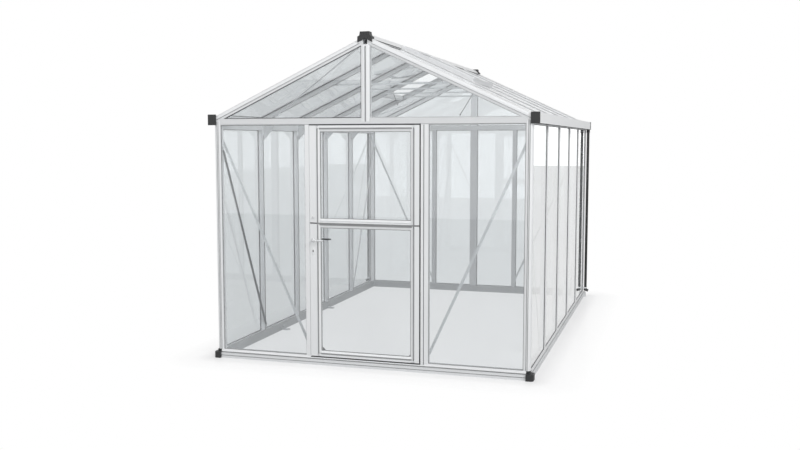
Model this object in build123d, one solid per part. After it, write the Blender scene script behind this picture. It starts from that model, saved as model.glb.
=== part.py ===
from build123d import *
from math import cos, radians, sin, tan
import os

# Overall form, in millimetres, with the origin on the ground at the middle of the house
bay_pitch = 730.0
bay_count = 5
end_setback = 20.0
house_width = 2440.0
eave_line = 1867.0
roof_angle = 25.0
eave_depth = 97.0
beam_drop = 67.0

# Glass and the slots that hold it
glass_thickness = 4.0
fit_gap = 0.3
cover_lip = 9.0
slot_depth = 12.0
edge_room = 3.0

# Common values of the extruded sections
frame_depth = 50.0
metal_wall = 3.0
groove_width = 5.0
groove_depth = 5.0
bead_width = 15.0
bead_drop = 5.0
corner_round = 20.0
corner_slot_floor = 28.0
overrun = 200.0

# Base rail section and its corner caps
base_height = 68.0
base_proud = 10.0
base_groove_low = 18.0
base_groove_high = 24.0
base_groove_depth = 4.0
base_bead_rise = 18.0
base_shadow_height = 8.0
base_shadow = 2.0
cap_inset = 30.0
cap_proud = 25.0
cap_height = 50.0
cap_corner_round = 24.0
cap_edge_cut = 4.0

# Ground anchors inside the side rails
anchor_row_shares = (-1.0, 0.5)
anchor_width = 56.0
anchor_reach = 60.0
anchor_upstand = 44.0
anchor_plate = 5.0
anchor_corner_cut = 14.0
anchor_hole_radius = 5.5

# Glazing bar section
bar_cap_half = 18.0
bar_cap_flat_half = 13.0
bar_cap_shoulder = 5.0
bar_web_half = 5.0
bar_seat_half = 15.0
bar_seat_thickness = 3.4
bar_stem_half = 6.0
bar_head_half = 12.0
bar_head_depth = 8.0
bar_groove_half = 3.0
bar_groove_depth = 2.0

# Gable ends
beam_depth = 48.0
back_post_offset = 455.0
back_post_width = 41.0
back_centre_width = 74.0
gable_post_width = 65.0
gable_post_groove_half = 5.5
gable_post_lap = 27.0

# Eave beam and gutter
gutter_reach = 43.0
gutter_drop = 64.0
gutter_rise = 11.0
gutter_wall = 3.0
gutter_bead = 5.0
eave_lip_show = 6.0
eave_drip = 8.0
gutter_cap_thickness = 16.0
gutter_cap_inset = 17.0
gutter_cap_lap = 3.0
gutter_cap_edge = 2.0
pipe_radius = 14.0
pipe_wall = 2.5
pipe_end_height = 82.0
pipe_from_gable = 30.0
shoe_angle = 60.0
shoe_length = 34.0
clip_height = 14.0
clip_wall = 3.0
clip_arm_width = 12.0

# Ridge
ridge_half = 20.0
ridge_wing = 48.0
ridge_wing_thickness = 8.0
ridge_crown_rise = 13.0
ridge_cap_half = 55.0
ridge_cap_rise = 27.0
ridge_cap_crown_half = 35.0
ridge_cap_shoulder_half = 40.0
ridge_cap_drop = 21.0
ridge_cap_side = 40.0
ridge_cap_plate = 14.0
ridge_cap_hood = 45.0
ridge_cap_edge = 2.5

# Flat stiffening pieces
flat_cut_share = 0.3
tie_drop = 298.0
tie_lap_depth = 27.0
tie_width = 15.0
tie_thickness = 4.0
knee_drop = 80.0
knee_throat = 80.0
knee_reach = 110.0
knee_lap = 8.0
knee_foot = 6.0
knee_plate = 4.0
brace_width = 20.0
brace_thickness = 4.0
brace_end_drop = 75.0
brace_side_drop = 140.0
brace_foot_rise = 40.0

# Roof vents, one on each slope
vent_bay_right = 1
vent_bay_left = 3
vent_opening_left = 17.0
vent_sill_reach = 620.0
vent_sill_half = 14.0
vent_overlap = 10.0
sash_width = 30.0
sash_height = 26.0
sash_slot_low = 8.0
sash_bead = 6.0
sash_lower_edge = 6.0
vent_bead_radius = 5.0
vent_bead_along_share = 0.15
vent_bead_lap_share = 0.6
stay_length = 300.0
stay_width = 14.0
stay_thickness = 3.0
stay_hole_radius = 2.5
stay_hole_count = 2
stay_hole_pitch = 90.0
stay_lean = 32.0
stay_clear = 12.0
stay_seat = 4.0
stay_eye_radius = 4.0

# Door opening and its two leaves
jamb_inner = 443.0
jamb_width = 32.0
stop_reach = 14.0
stop_thickness = 6.0
strip_stop_reach = 18.0
strip_stop_thickness = 4.0
door_gap = 6.0
hinge_gap = 7.0
strip_width = 25.0
strip_groove_depth = 12.0
leaf_depth = 34.0
leaf_split = 1073.0
leaf_groove = 12.0
leaf_groove_depth = 9.0
lock_stile = 80.0
hinge_stile = 67.0
top_rail = 44.0
bottom_rail = 46.0
meeting_rail = 30.0
leaf_plate_leg = 52.0
leaf_plate_inset = 14.0
leaf_plate_thickness = 3.0

# Hinges
hinge_barrel_radius = 3.0
hinge_pin_radius = 1.5
hinge_pin_play = 0.08
hinge_knuckle = 30.0
hinge_knuckle_gap = 1.0
hinge_flap = 2.5
hinge_flap_depth = 28.0
hinge_from_end = 110.0

# Lever handle, lock and bolt knob
handle_drop = 128.0
handle_from_edge = 25.0
spindle_radius = 8.0
spindle_play = 0.08
rosette_radius = 17.0
rosette_sides = 8
rosette_thickness = 5.0
lever_standoff = 44.0
lever_length = 104.0
lever_width = 14.0
lever_thickness = 10.0
lever_lap = 4.0
lock_drop = 82.0
lock_width = 24.0
lock_height = 64.0
lock_plate = 4.0
lock_plate_cut = 7.0
lock_barrel_radius = 8.5
lock_barrel_proud = 4.0
knob_rise = 40.0
knob_radius = 8.0
knob_neck_radius = 5.0
knob_proud = 14.0
knob_head = 7.0

# Values worked out from those above
half_width = house_width / 2
half_length = bay_count * bay_pitch / 2 + end_setback
slope = tan(radians(roof_angle))
roof_cos = cos(radians(roof_angle))
roof_sin = sin(radians(roof_angle))
slot_width = glass_thickness + 2 * fit_gap
seat_depth = cover_lip + slot_width
pane_face = cover_lip + fit_gap
ridge_line = eave_line + slope * half_width
eave_height = eave_line - eave_depth
beam_height = eave_line - beam_drop
gutter_floor = eave_line - gutter_drop
gutter_top = eave_line + gutter_rise
eave_lip_foot = gutter_floor - eave_lip_show
ridge_crown = ridge_line + ridge_crown_rise
ridge_cap_top = ridge_line + ridge_cap_rise
tie_height = ridge_line - tie_drop
tie_half_span = (tie_drop - tie_lap_depth / roof_cos) / slope
bar_lines = [(index - bay_count / 2) * bay_pitch for index in range(1, bay_count)]
base_bead_foot = base_height - base_bead_rise
base_band = base_bead_foot - base_shadow_height
threshold = base_height - slot_depth
beam_top = beam_height + beam_depth
inner_width = half_width - frame_depth
inner_length = half_length - frame_depth
leaf_left = door_gap - jamb_inner
leaf_right = jamb_inner - strip_width - hinge_gap
hinge_x = leaf_right + hinge_gap / 2
handle_x = leaf_left + handle_from_edge
handle_height = leaf_split - handle_drop
sky = ridge_line + overrun

right = (1, 0, 0)
left = (-1, 0, 0)
back = (0, 1, 0)
up = (0, 0, 1)
down_slope = (roof_cos, 0, -roof_sin)
under_roof = (-roof_sin, 0, -roof_cos)


def roof_z(x, depth=0):
    """Height of the right slope's outer face at x, or of a plane that lies depth under it."""
    return ridge_line - slope * x - depth / roof_cos


def section_plane(origin, inward, run):
    """Plane whose second axis points inward and whose normal is the run of the section."""
    return Plane(origin=origin, x_dir=Vector(*inward).cross(Vector(*run)), z_dir=run)


def outline_face(points, holes=()):
    face = make_face(Polyline(*points, close=True))
    for hole in holes:
        face -= make_face(Polyline(*hole, close=True))
    return face


def prism(points, plane, length, holes=()):
    return extrude(plane * outline_face(points, holes), amount=length, dir=plane.z_dir)


def along_house(points, start, end, holes=()):
    """Prism of an outline in X and Z, drawn out along Y."""
    plane = Plane(origin=(0, start, 0), x_dir=right, z_dir=(0, -1, 0))
    return extrude(plane * outline_face(points, holes), amount=end - start, dir=back)


def block(low, high):
    size = [b - a for a, b in zip(low, high)]
    return Pos(*low) * Box(*size, align=(Align.MIN, Align.MIN, Align.MIN))


def rectangle_points(low, high):
    return [low, (high[0], low[1]), high, (low[0], high[1])]


def mirrored(points):
    """Closed outline from the points of its right half, listed from bottom to top."""
    return points + [(-x, y) for x, y in reversed(points)]


def left_of(pieces):
    return [mirror(piece, about=Plane.YZ) for piece in pieces]


def both_sides(pieces):
    return pieces + left_of(pieces)


def both_ends(pieces):
    return pieces + [mirror(piece, about=Plane.XZ) for piece in pieces]


def flat_bar(start, end, normal, width, thickness):
    """Flat bar with cut corners that passes its two holes by half its width."""
    run = Vector(*end) - Vector(*start)
    middle = (Vector(*start) + Vector(*end)) * 0.5
    plane = Plane(origin=middle, x_dir=run, z_dir=normal)
    strip = chamfer(Rectangle(run.length + width, width).vertices(), flat_cut_share * width)
    return extrude(plane * strip, amount=thickness, dir=normal)


def left_half():
    """Everything on the left of the house's middle."""
    reach = half_width + overrun
    return block((-reach, -half_length - overrun, 0), (0, half_length + overrun, sky))


def above_roof(depth):
    """Everything over a plane that lies depth under both roof slopes."""
    reach = half_width + overrun
    points = [(-reach, roof_z(reach, depth)), (0, roof_z(0, depth)), (reach, roof_z(reach, depth)),
              (reach, sky), (-reach, sky)]
    return along_house(points, -half_length - overrun, half_length + overrun)


def lip_points(width, groove=groove_width, depth=groove_depth):
    """Cover lip seen in section: shadow groove, slanted bead and the edge that laps the glass."""
    bead_start = width - bead_width
    groove_start = bead_start - groove
    return [(groove_start, 0), (groove_start, depth), (bead_start, depth), (bead_start, 0),
            (width, bead_drop), (width, cover_lip)]


def slot_points(width):
    """Glass slot behind a cover lip that ends at width."""
    floor = width - slot_depth
    return [(floor, cover_lip), (floor, seat_depth), (width, seat_depth)]


# Frame sections
def corner_face(side):
    """Square section, round at its outer corner, with a lip and a glass slot along two faces."""
    leg = lip_points(frame_depth)
    leg += [(corner_slot_floor, cover_lip), (corner_slot_floor, seat_depth), (frame_depth, seat_depth)]
    outline = [(0, 0)] + leg + [(frame_depth, frame_depth)] + [(b, a) for a, b in reversed(leg)]
    chamber_low = seat_depth + metal_wall
    chamber_high = frame_depth - metal_wall
    chamber = rectangle_points((chamber_low, chamber_low), (chamber_high, chamber_high))
    face = outline_face([(side * a, b) for a, b in outline], [[(side * a, b) for a, b in chamber]])
    return fillet(face.vertices().sort_by_distance((0, 0))[0], corner_round)


def bar_section():
    """Glazing bar: grooved cap outside, web between the panes, seat, stem and bolt head inside."""
    seat_end = seat_depth + bar_seat_thickness
    head_start = frame_depth - bar_head_depth
    half = [(bar_head_half, frame_depth), (bar_head_half, head_start), (bar_stem_half, head_start),
            (bar_stem_half, seat_end), (bar_seat_half, seat_end), (bar_seat_half, seat_depth),
            (bar_web_half, seat_depth), (bar_web_half, cover_lip), (bar_cap_half, cover_lip),
            (bar_cap_half, bar_cap_shoulder), (bar_cap_flat_half, 0), (bar_groove_half, 0),
            (bar_groove_half, bar_groove_depth)]
    return mirrored(half), []


def post_section(width, bead=bead_drop, groove_half=0):
    """Upright between two panes: flat or grooved cover, two glass slots and a square chamber behind."""
    half_face = width / 2
    half = [(half_face, frame_depth), (half_face, seat_depth), (half_face - slot_depth, seat_depth),
            (half_face - slot_depth, cover_lip), (half_face, cover_lip), (half_face, bead_drop),
            (half_face - bead, 0)]
    if groove_half > 0:
        half += [(groove_half, 0), (groove_half, groove_depth)]
    chamber = half_face - metal_wall
    low = seat_depth + metal_wall
    return mirrored(half), [rectangle_points((-chamber, low), (chamber, frame_depth - metal_wall))]


def base_section():
    """Base rail: banded outer face, bead and glass slot on top, hollow foot."""
    foot = -base_proud
    groove_foot = foot + base_groove_depth
    outline = [(foot, 0), (foot, base_groove_low), (groove_foot, base_groove_low),
               (groove_foot, base_groove_high), (foot, base_groove_high), (foot, base_band),
               (base_shadow, base_band), (base_shadow, base_bead_foot), (-base_shadow, base_bead_foot),
               (bead_drop, base_height), (cover_lip, base_height), (cover_lip, threshold),
               (seat_depth, threshold), (seat_depth, base_height), (frame_depth, base_height),
               (frame_depth, 0)]
    chamber = rectangle_points((base_shadow + metal_wall, metal_wall),
                               (frame_depth - metal_wall, threshold - metal_wall))
    return outline, [chamber]


# Base
def base_side_rails():
    outline, holes = base_section()
    length = 2 * (inner_length - fit_gap)
    plane = section_plane((half_width, -length / 2, 0), up, back)
    rail = prism(outline, plane, length, holes)
    return both_sides([rail])


def base_end_rails():
    outline, holes = base_section()
    length = 2 * (half_width - cap_inset)
    plane = section_plane((length / 2, -half_length, 0), up, left)
    front_rail = prism([(-a, z) for a, z in outline], plane, length, [[(-a, z) for a, z in holes[0]]])
    back_rail = mirror(front_rail, about=Plane.XZ)
    stop_face = frame_depth - stop_thickness - half_length
    doorway = block((-jamb_inner, -half_length - overrun, threshold), (jamb_inner, stop_face, sky))
    return [front_rail - doorway, back_rail]


def base_corner_caps():
    start_x = half_width - cap_inset + fit_gap
    start_y = fit_gap - half_length + frame_depth
    end_y = -half_length - cap_proud
    size_x = half_width + cap_proud - start_x
    foot = Pos(start_x, end_y) * Rectangle(size_x, start_y - end_y - 2 * fit_gap, align=Align.MIN)
    outer = foot.vertices().sort_by_distance((half_width + cap_proud, end_y))[0]
    foot = fillet(outer, cap_corner_round)
    cap = extrude(foot, amount=cap_height)
    cap = chamfer(cap.faces().sort_by(Axis.Z)[-1].edges(), cap_edge_cut)
    end = start_y - 2 * fit_gap
    post_seat = block((start_x, -half_length, 0), (half_width, end, base_height))
    post_seat -= block((half_width - seat_depth, corner_slot_floor - half_length, threshold),
                       (half_width - cover_lip, end, base_height))
    return both_ends(both_sides([cap + post_seat]))


def anchor_brackets():
    face = inner_width - fit_gap
    hole_x = face - anchor_reach + anchor_width / 2
    pieces = []
    for share in anchor_row_shares:
        y = share * bay_pitch
        plate = Pos(face, y) * Rectangle(anchor_reach, anchor_width, align=(Align.MAX, Align.CENTER))
        foot = extrude(chamfer(plate.vertices().sort_by(Axis.X)[:2], anchor_corner_cut), amount=anchor_plate)
        foot += block((face - anchor_plate, y - anchor_width / 2, 0),
                      (face, y + anchor_width / 2, anchor_upstand))
        foot -= Pos(hole_x, y) * Cylinder(anchor_hole_radius, overrun)
        pieces.append(foot)
    return both_sides(pieces)


# Walls
def corner_posts():
    foot = base_height + fit_gap
    plane = section_plane((half_width, -half_length, foot), back, up)
    post = extrude(plane * corner_face(-1), amount=sky - foot, dir=up)
    post -= above_roof(frame_depth + fit_gap)
    return both_ends(both_sides([post]))


def right_wall_bars():
    outline, holes = bar_section()
    foot = base_height + fit_gap
    eave_room = block((0, -half_length, eave_height - fit_gap),
                      (half_width - seat_depth + fit_gap, half_length, sky))
    bars = []
    for y in bar_lines:
        plane = section_plane((half_width, y, foot), left, up)
        bars.append(prism(outline, plane, eave_lip_foot - fit_gap - foot, holes) - eave_room)
    return bars


def door_posts():
    half_face = [(0, 0), (jamb_width, 0), (jamb_width, cover_lip)] + slot_points(jamb_width)
    outline = half_face + [(jamb_width, frame_depth), (-stop_reach, frame_depth),
                           (-stop_reach, frame_depth - stop_thickness), (0, frame_depth - stop_thickness)]
    chamber = rectangle_points((metal_wall, seat_depth + metal_wall),
                               (jamb_width - metal_wall, frame_depth - metal_wall))
    foot = base_height + fit_gap
    plane = Plane(origin=(jamb_inner, -half_length, foot), x_dir=right, z_dir=up)
    posts = both_sides([prism(outline, plane, beam_height - fit_gap - foot, [chamber])])
    stop_back = frame_depth - half_length
    stop_end = jamb_inner - stop_reach - fit_gap
    head_stop = block((-stop_end, stop_back - stop_thickness, beam_height - fit_gap - stop_reach),
                      (stop_end, stop_back, beam_height - fit_gap))
    return posts + [head_stop]


def hinge_strip():
    start = leaf_right + hinge_gap
    width = jamb_inner - fit_gap - start
    back_face = frame_depth - stop_thickness - fit_gap
    stop_face = back_face - strip_stop_thickness
    outline = [(0, 0), (width - groove_width, 0), (width - groove_width, strip_groove_depth),
               (width, strip_groove_depth), (width, back_face), (-strip_stop_reach, back_face),
               (-strip_stop_reach, stop_face), (0, stop_face)]
    chamber = rectangle_points((metal_wall, strip_groove_depth + metal_wall),
                               (width - metal_wall, stop_face - metal_wall))
    foot = threshold + fit_gap
    plane = Plane(origin=(start, -half_length, foot), x_dir=right, z_dir=up)
    return [prism(outline, plane, beam_height - fit_gap - foot, [chamber])]


def back_wall_posts():
    foot = base_height + fit_gap
    places = [(-back_post_offset, back_post_width), (0, back_centre_width),
              (back_post_offset, back_post_width)]
    posts = []
    for x, width in places:
        outline, holes = post_section(width)
        plane = section_plane((x, half_length, foot), (0, -1, 0), up)
        posts.append(prism(outline, plane, beam_height - fit_gap - foot, holes))
    return posts


# Gables
def gable_beams():
    outline, holes = post_section(beam_depth)
    length = 2 * (inner_width - fit_gap)
    plane = section_plane((-length / 2, -half_length, beam_height + beam_depth / 2), back, right)
    beam = prism(outline, plane, length, holes) - above_roof(frame_depth + fit_gap)
    notch_half = gable_post_width / 2 + fit_gap
    beam -= block((-notch_half, -half_length - overrun, beam_top - gable_post_lap - fit_gap),
                  (notch_half, cover_lip + fit_gap - half_length, sky))
    return both_ends([beam])


def gable_posts():
    """Posts whose cover runs down over the beam that carries them."""
    outline, holes = post_section(gable_post_width, bead_width, gable_post_groove_half)
    foot = beam_top - gable_post_lap
    plane = section_plane((0, -half_length, foot), back, up)
    post = prism(outline, plane, sky - foot, holes) - above_roof(frame_depth + fit_gap)
    post -= block((-overrun, cover_lip - half_length, 0), (overrun, 0, beam_top + fit_gap))
    ridge_foot = roof_z(ridge_half, frame_depth) - fit_gap
    post -= block((-overrun, -half_length, ridge_foot), (overrun, 0, sky))
    return both_ends([post])


def gable_rafters():
    end = half_width + overrun
    plane = Plane(origin=(end, -half_length, roof_z(end)), x_dir=back, z_dir=(-roof_cos, 0, roof_sin))
    rafter = extrude(plane * corner_face(1), amount=end / roof_cos, dir=plane.z_dir)
    rafter -= ridge_clearance()
    rafter -= left_half()
    rafter -= block((half_width - fit_gap, -half_length - overrun, 0), (end + overrun, 0, sky))
    return both_ends(both_sides([rafter]))


# Eaves
def eave_section():
    outer = half_width + gutter_reach
    inner_wall = half_width + gutter_wall
    lip_face = half_width - cover_lip
    seat_face = half_width - seat_depth
    slot_top = eave_lip_foot + slot_depth + edge_room
    trough_floor = gutter_floor + gutter_wall
    bead_foot = gutter_top - gutter_bead
    outline = [(outer, gutter_top), (outer, gutter_floor), (half_width, gutter_floor),
               (half_width, eave_lip_foot), (lip_face, eave_lip_foot), (lip_face, slot_top),
               (seat_face, slot_top), (seat_face, eave_height), (inner_width, eave_height),
               (inner_width, roof_z(inner_width, seat_depth)), (inner_wall, roof_z(inner_wall, seat_depth)),
               (inner_wall, trough_floor), (outer - gutter_wall, trough_floor),
               (outer - gutter_wall, bead_foot), (outer - 2 * gutter_wall, bead_foot),
               (outer - 2 * gutter_wall, gutter_top)]
    chamber_left = inner_width + metal_wall
    chamber_right = half_width - metal_wall
    chamber_step = seat_face - metal_wall
    chamber_foot = eave_height + metal_wall
    chamber_roof = seat_depth + metal_wall
    chamber = [(chamber_left, chamber_foot), (chamber_step, chamber_foot),
               (chamber_step, slot_top + metal_wall), (chamber_right, slot_top + metal_wall),
               (chamber_right, roof_z(chamber_right, chamber_roof)),
               (chamber_left, roof_z(chamber_left, chamber_roof))]
    return outline, [chamber]


def right_eave():
    outline, holes = eave_section()
    eave = along_house(outline, -half_length, half_length, holes)
    notch = block((0, -half_length - overrun, 0), (half_width + fit_gap, fit_gap - inner_length, sky))
    return [eave - both_ends([notch])]


def gutter_end_caps():
    """Square caps, a little larger than the gutter that they close."""
    low = (half_width - gutter_cap_inset, gutter_floor - gutter_cap_lap)
    high = (half_width + gutter_reach + gutter_cap_lap, gutter_top + gutter_cap_lap)
    face = -half_length - fit_gap
    cap = along_house(rectangle_points(low, high), face - gutter_cap_thickness, face)
    cap = chamfer(cap.faces().sort_by(Axis.Y)[0].edges(), gutter_cap_edge)
    return both_ends(both_sides([cap]))


def pipe_centre():
    return half_width + (gutter_wall + gutter_reach) / 2, half_length - pipe_from_gable


def downpipes():
    x, y = pipe_centre()
    top = gutter_floor - fit_gap
    turn = radians(shoe_angle)
    shoe_end = (x + shoe_length * sin(turn), y, pipe_end_height - shoe_length * cos(turn))
    route = Polyline((x, y, top), (x, y, pipe_end_height), shoe_end)
    ring = Circle(pipe_radius) - Circle(pipe_radius - pipe_wall)
    pipe = sweep(Plane(origin=route @ 0, z_dir=route % 0) * ring, path=route, transition=Transition.RIGHT)
    return both_sides([pipe])


def pipe_clips():
    x, y = pipe_centre()
    outer = pipe_radius + fit_gap + clip_wall
    low = pipe_end_height + pipe_radius * tan(radians(shoe_angle / 2)) + fit_gap
    ring = Circle(outer) - Circle(pipe_radius + fit_gap)
    arm = Pos(half_width + fit_gap - x, 0) * Rectangle(
        x - half_width - fit_gap - pipe_radius - fit_gap, clip_arm_width, align=(Align.MIN, Align.CENTER))
    clip = Pos(x, y, low) * extrude(ring + arm, amount=clip_height)
    return both_sides([clip])


# Ridge
def ridge_outline(grow=0):
    """Ridge section, or the room that it takes up when grown on every side."""
    half = ridge_half + grow
    wing = ridge_wing + grow
    under = cover_lip + grow
    over = cover_lip - ridge_wing_thickness - grow
    points = [(half, roof_z(ridge_half, frame_depth) - grow), (half, roof_z(half, under)),
              (wing, roof_z(wing, under)), (wing, roof_z(wing, over)), (half, ridge_crown + grow)]
    return mirrored(points)


def ridge_beam():
    chamber_half = ridge_half - metal_wall
    low = roof_z(ridge_half, frame_depth) + metal_wall
    chamber = rectangle_points((-chamber_half, low), (chamber_half, roof_z(ridge_half, cover_lip)))
    return [along_house(ridge_outline(), -half_length, half_length, [chamber])]


def ridge_clearance():
    """Room kept free for the ridge, open above its wings and below its foot."""
    half = ridge_half + fit_gap
    wing = ridge_wing + fit_gap
    points = [(half, 0), (half, roof_z(half, cover_lip)), (wing, roof_z(wing, cover_lip)), (wing, sky)]
    return along_house(mirrored(points), -half_length - overrun, half_length + overrun)


def ridge_end_caps():
    side_foot = roof_z(ridge_cap_half, ridge_cap_drop)
    half = [(ridge_cap_half, side_foot), (ridge_cap_half, side_foot + ridge_cap_side),
            (ridge_cap_shoulder_half, ridge_line), (ridge_cap_crown_half, ridge_cap_top)]
    outline = [(0, roof_z(0, ridge_cap_drop))] + mirrored(half)
    face = -half_length - fit_gap
    plate = along_house(outline, face - ridge_cap_plate, face)
    plate = chamfer(plate.faces().sort_by(Axis.Y)[0].edges(), ridge_cap_edge)
    hood = along_house(outline, face, face + ridge_cap_hood)
    hood -= along_house(ridge_outline(fit_gap), face, face + ridge_cap_hood)
    reach = ridge_cap_half + overrun
    under = [(-reach, 0), (reach, 0), (reach, roof_z(reach, -fit_gap)), (0, roof_z(0, -fit_gap)),
             (-reach, roof_z(reach, -fit_gap))]
    hood -= along_house(under, face, face + ridge_cap_hood)
    return both_ends([plate + hood])


# Roof
def roof_bar(y):
    outline, holes = bar_section()
    end = half_width + eave_drip
    plane = section_plane((0, y, ridge_line), under_roof, down_slope)
    bar = prism(outline, plane, end / roof_cos, holes) - ridge_clearance() - left_half()
    stop = inner_width - fit_gap
    reach = end + overrun
    eave_room = [(stop, 0), (reach, 0), (reach, roof_z(reach, seat_depth)), (stop, roof_z(stop, seat_depth))]
    return bar - along_house(eave_room, -half_length, half_length)


def right_roof_bars():
    return [roof_bar(y) for y in bar_lines]


def bar_side(index):
    """Plates are bolted on the side of a bar that looks to the middle of the house."""
    return 1 if bar_lines[index] < 0 else -1


def collar_ties():
    ties = []
    for index, y in enumerate(bar_lines):
        side = bar_side(index)
        face = y + side * (bar_head_half + fit_gap)
        ties.append(flat_bar((-tie_half_span, face, tie_height), (tie_half_span, face, tie_height),
                             (0, side, 0), tie_width, tie_thickness))
    return ties


def knee_plates():
    lap_wall = inner_width + knee_lap
    lap_roof = frame_depth - knee_lap
    stop = inner_width - fit_gap
    foot = eave_height - knee_drop
    throat = inner_width - knee_throat
    reach = inner_width - knee_reach
    outline = [(lap_wall, foot), (inner_width - knee_foot, foot), (throat, eave_height + metal_wall),
               (reach, roof_z(reach, frame_depth)), (reach, roof_z(reach, lap_roof)),
               (stop, roof_z(stop, lap_roof)), (stop, eave_height - fit_gap),
               (lap_wall, eave_height - fit_gap)]
    plates = []
    for index, y in enumerate(bar_lines):
        side = bar_side(index)
        face = y + side * (bar_head_half + fit_gap)
        low, high = sorted((face, face + side * knee_plate))
        plates.append(along_house(outline, low, high))
    return both_sides(plates)


def gable_braces():
    face = fit_gap - half_length + frame_depth
    top = (half_width - frame_depth / 2, face, beam_height - brace_end_drop)
    foot_height = base_height + brace_foot_rise
    front_foot = (jamb_inner + jamb_width / 2, face, foot_height)
    back_foot = (back_post_offset, face, foot_height)
    front_brace = flat_bar(top, front_foot, back, brace_width, brace_thickness)
    back_brace = mirror(flat_bar(top, back_foot, back, brace_width, brace_thickness), about=Plane.XZ)
    return both_sides([front_brace, back_brace])


def wall_braces():
    face = inner_width - fit_gap
    top = (face, frame_depth / 2 - half_length, eave_height - brace_side_drop)
    foot = (face, bar_lines[0], base_height + brace_foot_rise)
    return both_ends(both_sides([flat_bar(top, foot, left, brace_width, brace_thickness)]))


def roof_braces():
    under = frame_depth + fit_gap
    top_x = ridge_wing + brace_width
    foot_x = inner_width - brace_width - knee_reach
    top = (top_x, frame_depth / 2 - half_length, roof_z(top_x, under))
    foot = (foot_x, bar_lines[0], roof_z(foot_x, under))
    return both_ends(both_sides([flat_bar(top, foot, under_roof, brace_width, brace_thickness)]))


# Fixed glass
def bay_edges(index):
    """Front and back edges of the pane in a bay along the house."""
    gable_edge = half_length - corner_slot_floor - edge_room
    room = bar_web_half + edge_room
    starts = [-gable_edge] + [line + room for line in bar_lines]
    ends = [line - room for line in bar_lines] + [gable_edge]
    return starts[index], ends[index]


def right_wall_glass():
    outer = half_width - pane_face
    low = threshold + fit_gap
    panes = []
    for index in range(bay_count):
        start, end = bay_edges(index)
        high = (outer, end, eave_lip_foot + slot_depth)
        panes.append(block((outer - glass_thickness, start, low), high))
    return panes


def sill_pane_start():
    return vent_sill_reach + (vent_sill_half - slot_depth + edge_room) * roof_cos


def roof_glass(vent_bay):
    panes = []
    for index in range(bay_count):
        start, end = bay_edges(index)
        top = sill_pane_start() if index == vent_bay else ridge_half + edge_room
        foot = half_width + eave_drip
        outline = [(top, roof_z(top, pane_face)), (foot, roof_z(foot, pane_face)),
                   (foot, roof_z(foot, pane_face + glass_thickness)),
                   (top, roof_z(top, pane_face + glass_thickness))]
        panes.append(along_house(outline, start, end))
    return panes


def end_wall_pane(inner, outer):
    """Pane of the front wall between two distances from its middle, from base rail to beam."""
    face = pane_face - half_length
    high = beam_height + slot_depth - edge_room
    return block((inner, face, threshold + fit_gap), (outer, face + glass_thickness, high))


def corner_edge():
    """Outer edge of the panes that end in a corner post."""
    return half_width - corner_slot_floor - edge_room


def front_wall_glass():
    inner = jamb_inner + jamb_width - slot_depth + edge_room
    return both_sides([end_wall_pane(inner, corner_edge())])


def back_wall_glass():
    lap = slot_depth - edge_room
    outer_pane = end_wall_pane(back_post_offset + back_post_width / 2 - lap, corner_edge())
    inner_pane = end_wall_pane(back_centre_width / 2 - lap, back_post_offset - back_post_width / 2 + lap)
    return [mirror(pane, about=Plane.XZ) for pane in both_sides([outer_pane, inner_pane])]


def gable_glass():
    inner = gable_post_width / 2 - slot_depth + edge_room
    low = beam_top - slot_depth + edge_room
    outer = inner_width - edge_room
    edge = corner_slot_floor + edge_room
    outline = [(inner, low), (outer, low), (outer, roof_z(outer, edge)), (inner, roof_z(inner, edge))]
    face = pane_face - half_length
    return both_ends(both_sides([along_house(outline, face, face + glass_thickness)]))


# Roof vents
def slope_point(x, y, depth):
    """Point that lies depth under the roof face, measured square to it, from the face point at x."""
    return x - roof_sin * depth, y, ridge_line - slope * x - roof_cos * depth


def bay_start(bay):
    """Line of the bar, or of the end of the bays, at the front of a bay."""
    return (bay - bay_count / 2) * bay_pitch


def vent_edges(bay):
    return bay_start(bay) - vent_overlap, bay_start(bay + 1) + vent_overlap


def hinge_line():
    """Axis of the vent's hinge bead, which lies on the slanted top of the ridge wing."""
    wing_top = roof_z(ridge_wing, cover_lip - ridge_wing_thickness)
    run_x = ridge_half - ridge_wing
    run_z = ridge_crown - wing_top
    length = (run_x ** 2 + run_z ** 2) ** 0.5
    lift = vent_bead_radius + fit_gap
    return (ridge_wing + vent_bead_along_share * run_x + lift * run_z / length,
            wing_top + vent_bead_along_share * run_z - lift * run_x / length)


def sash_section():
    slot_high = sash_slot_low + slot_width
    floor = sash_width - slot_depth
    return [(0, 0), (sash_width, 0), (sash_width, sash_slot_low), (floor, sash_slot_low), (floor, slot_high),
            (sash_width, slot_high), (sash_width, sash_height - sash_bead),
            (sash_width - sash_bead, sash_height), (0, sash_height)]


def sash_span():
    """Plan distances of the sash's upper and lower edges from the ridge."""
    x, z = hinge_line()
    lift = (z - roof_z(x)) * roof_cos
    return x - roof_sin * lift + vent_bead_lap_share * vent_bead_radius, vent_sill_reach + sash_lower_edge


def swing(pieces, opening):
    x, z = hinge_line()
    return [piece.rotate(Axis((x, 0, z), (0, -1, 0)), opening) for piece in pieces]


def vent_stiles(bay, opening):
    start, end = vent_edges(bay)
    top, foot = sash_span()
    length = (foot - top) / roof_cos
    first = Plane(origin=slope_point(top, start, -fit_gap), x_dir=back, z_dir=down_slope)
    second = Plane(origin=slope_point(foot, end, -fit_gap), x_dir=(0, -1, 0), z_dir=(-roof_cos, 0, roof_sin))
    outline = sash_section()
    return swing([prism(outline, first, length), prism(outline, second, length)], opening)


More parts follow.
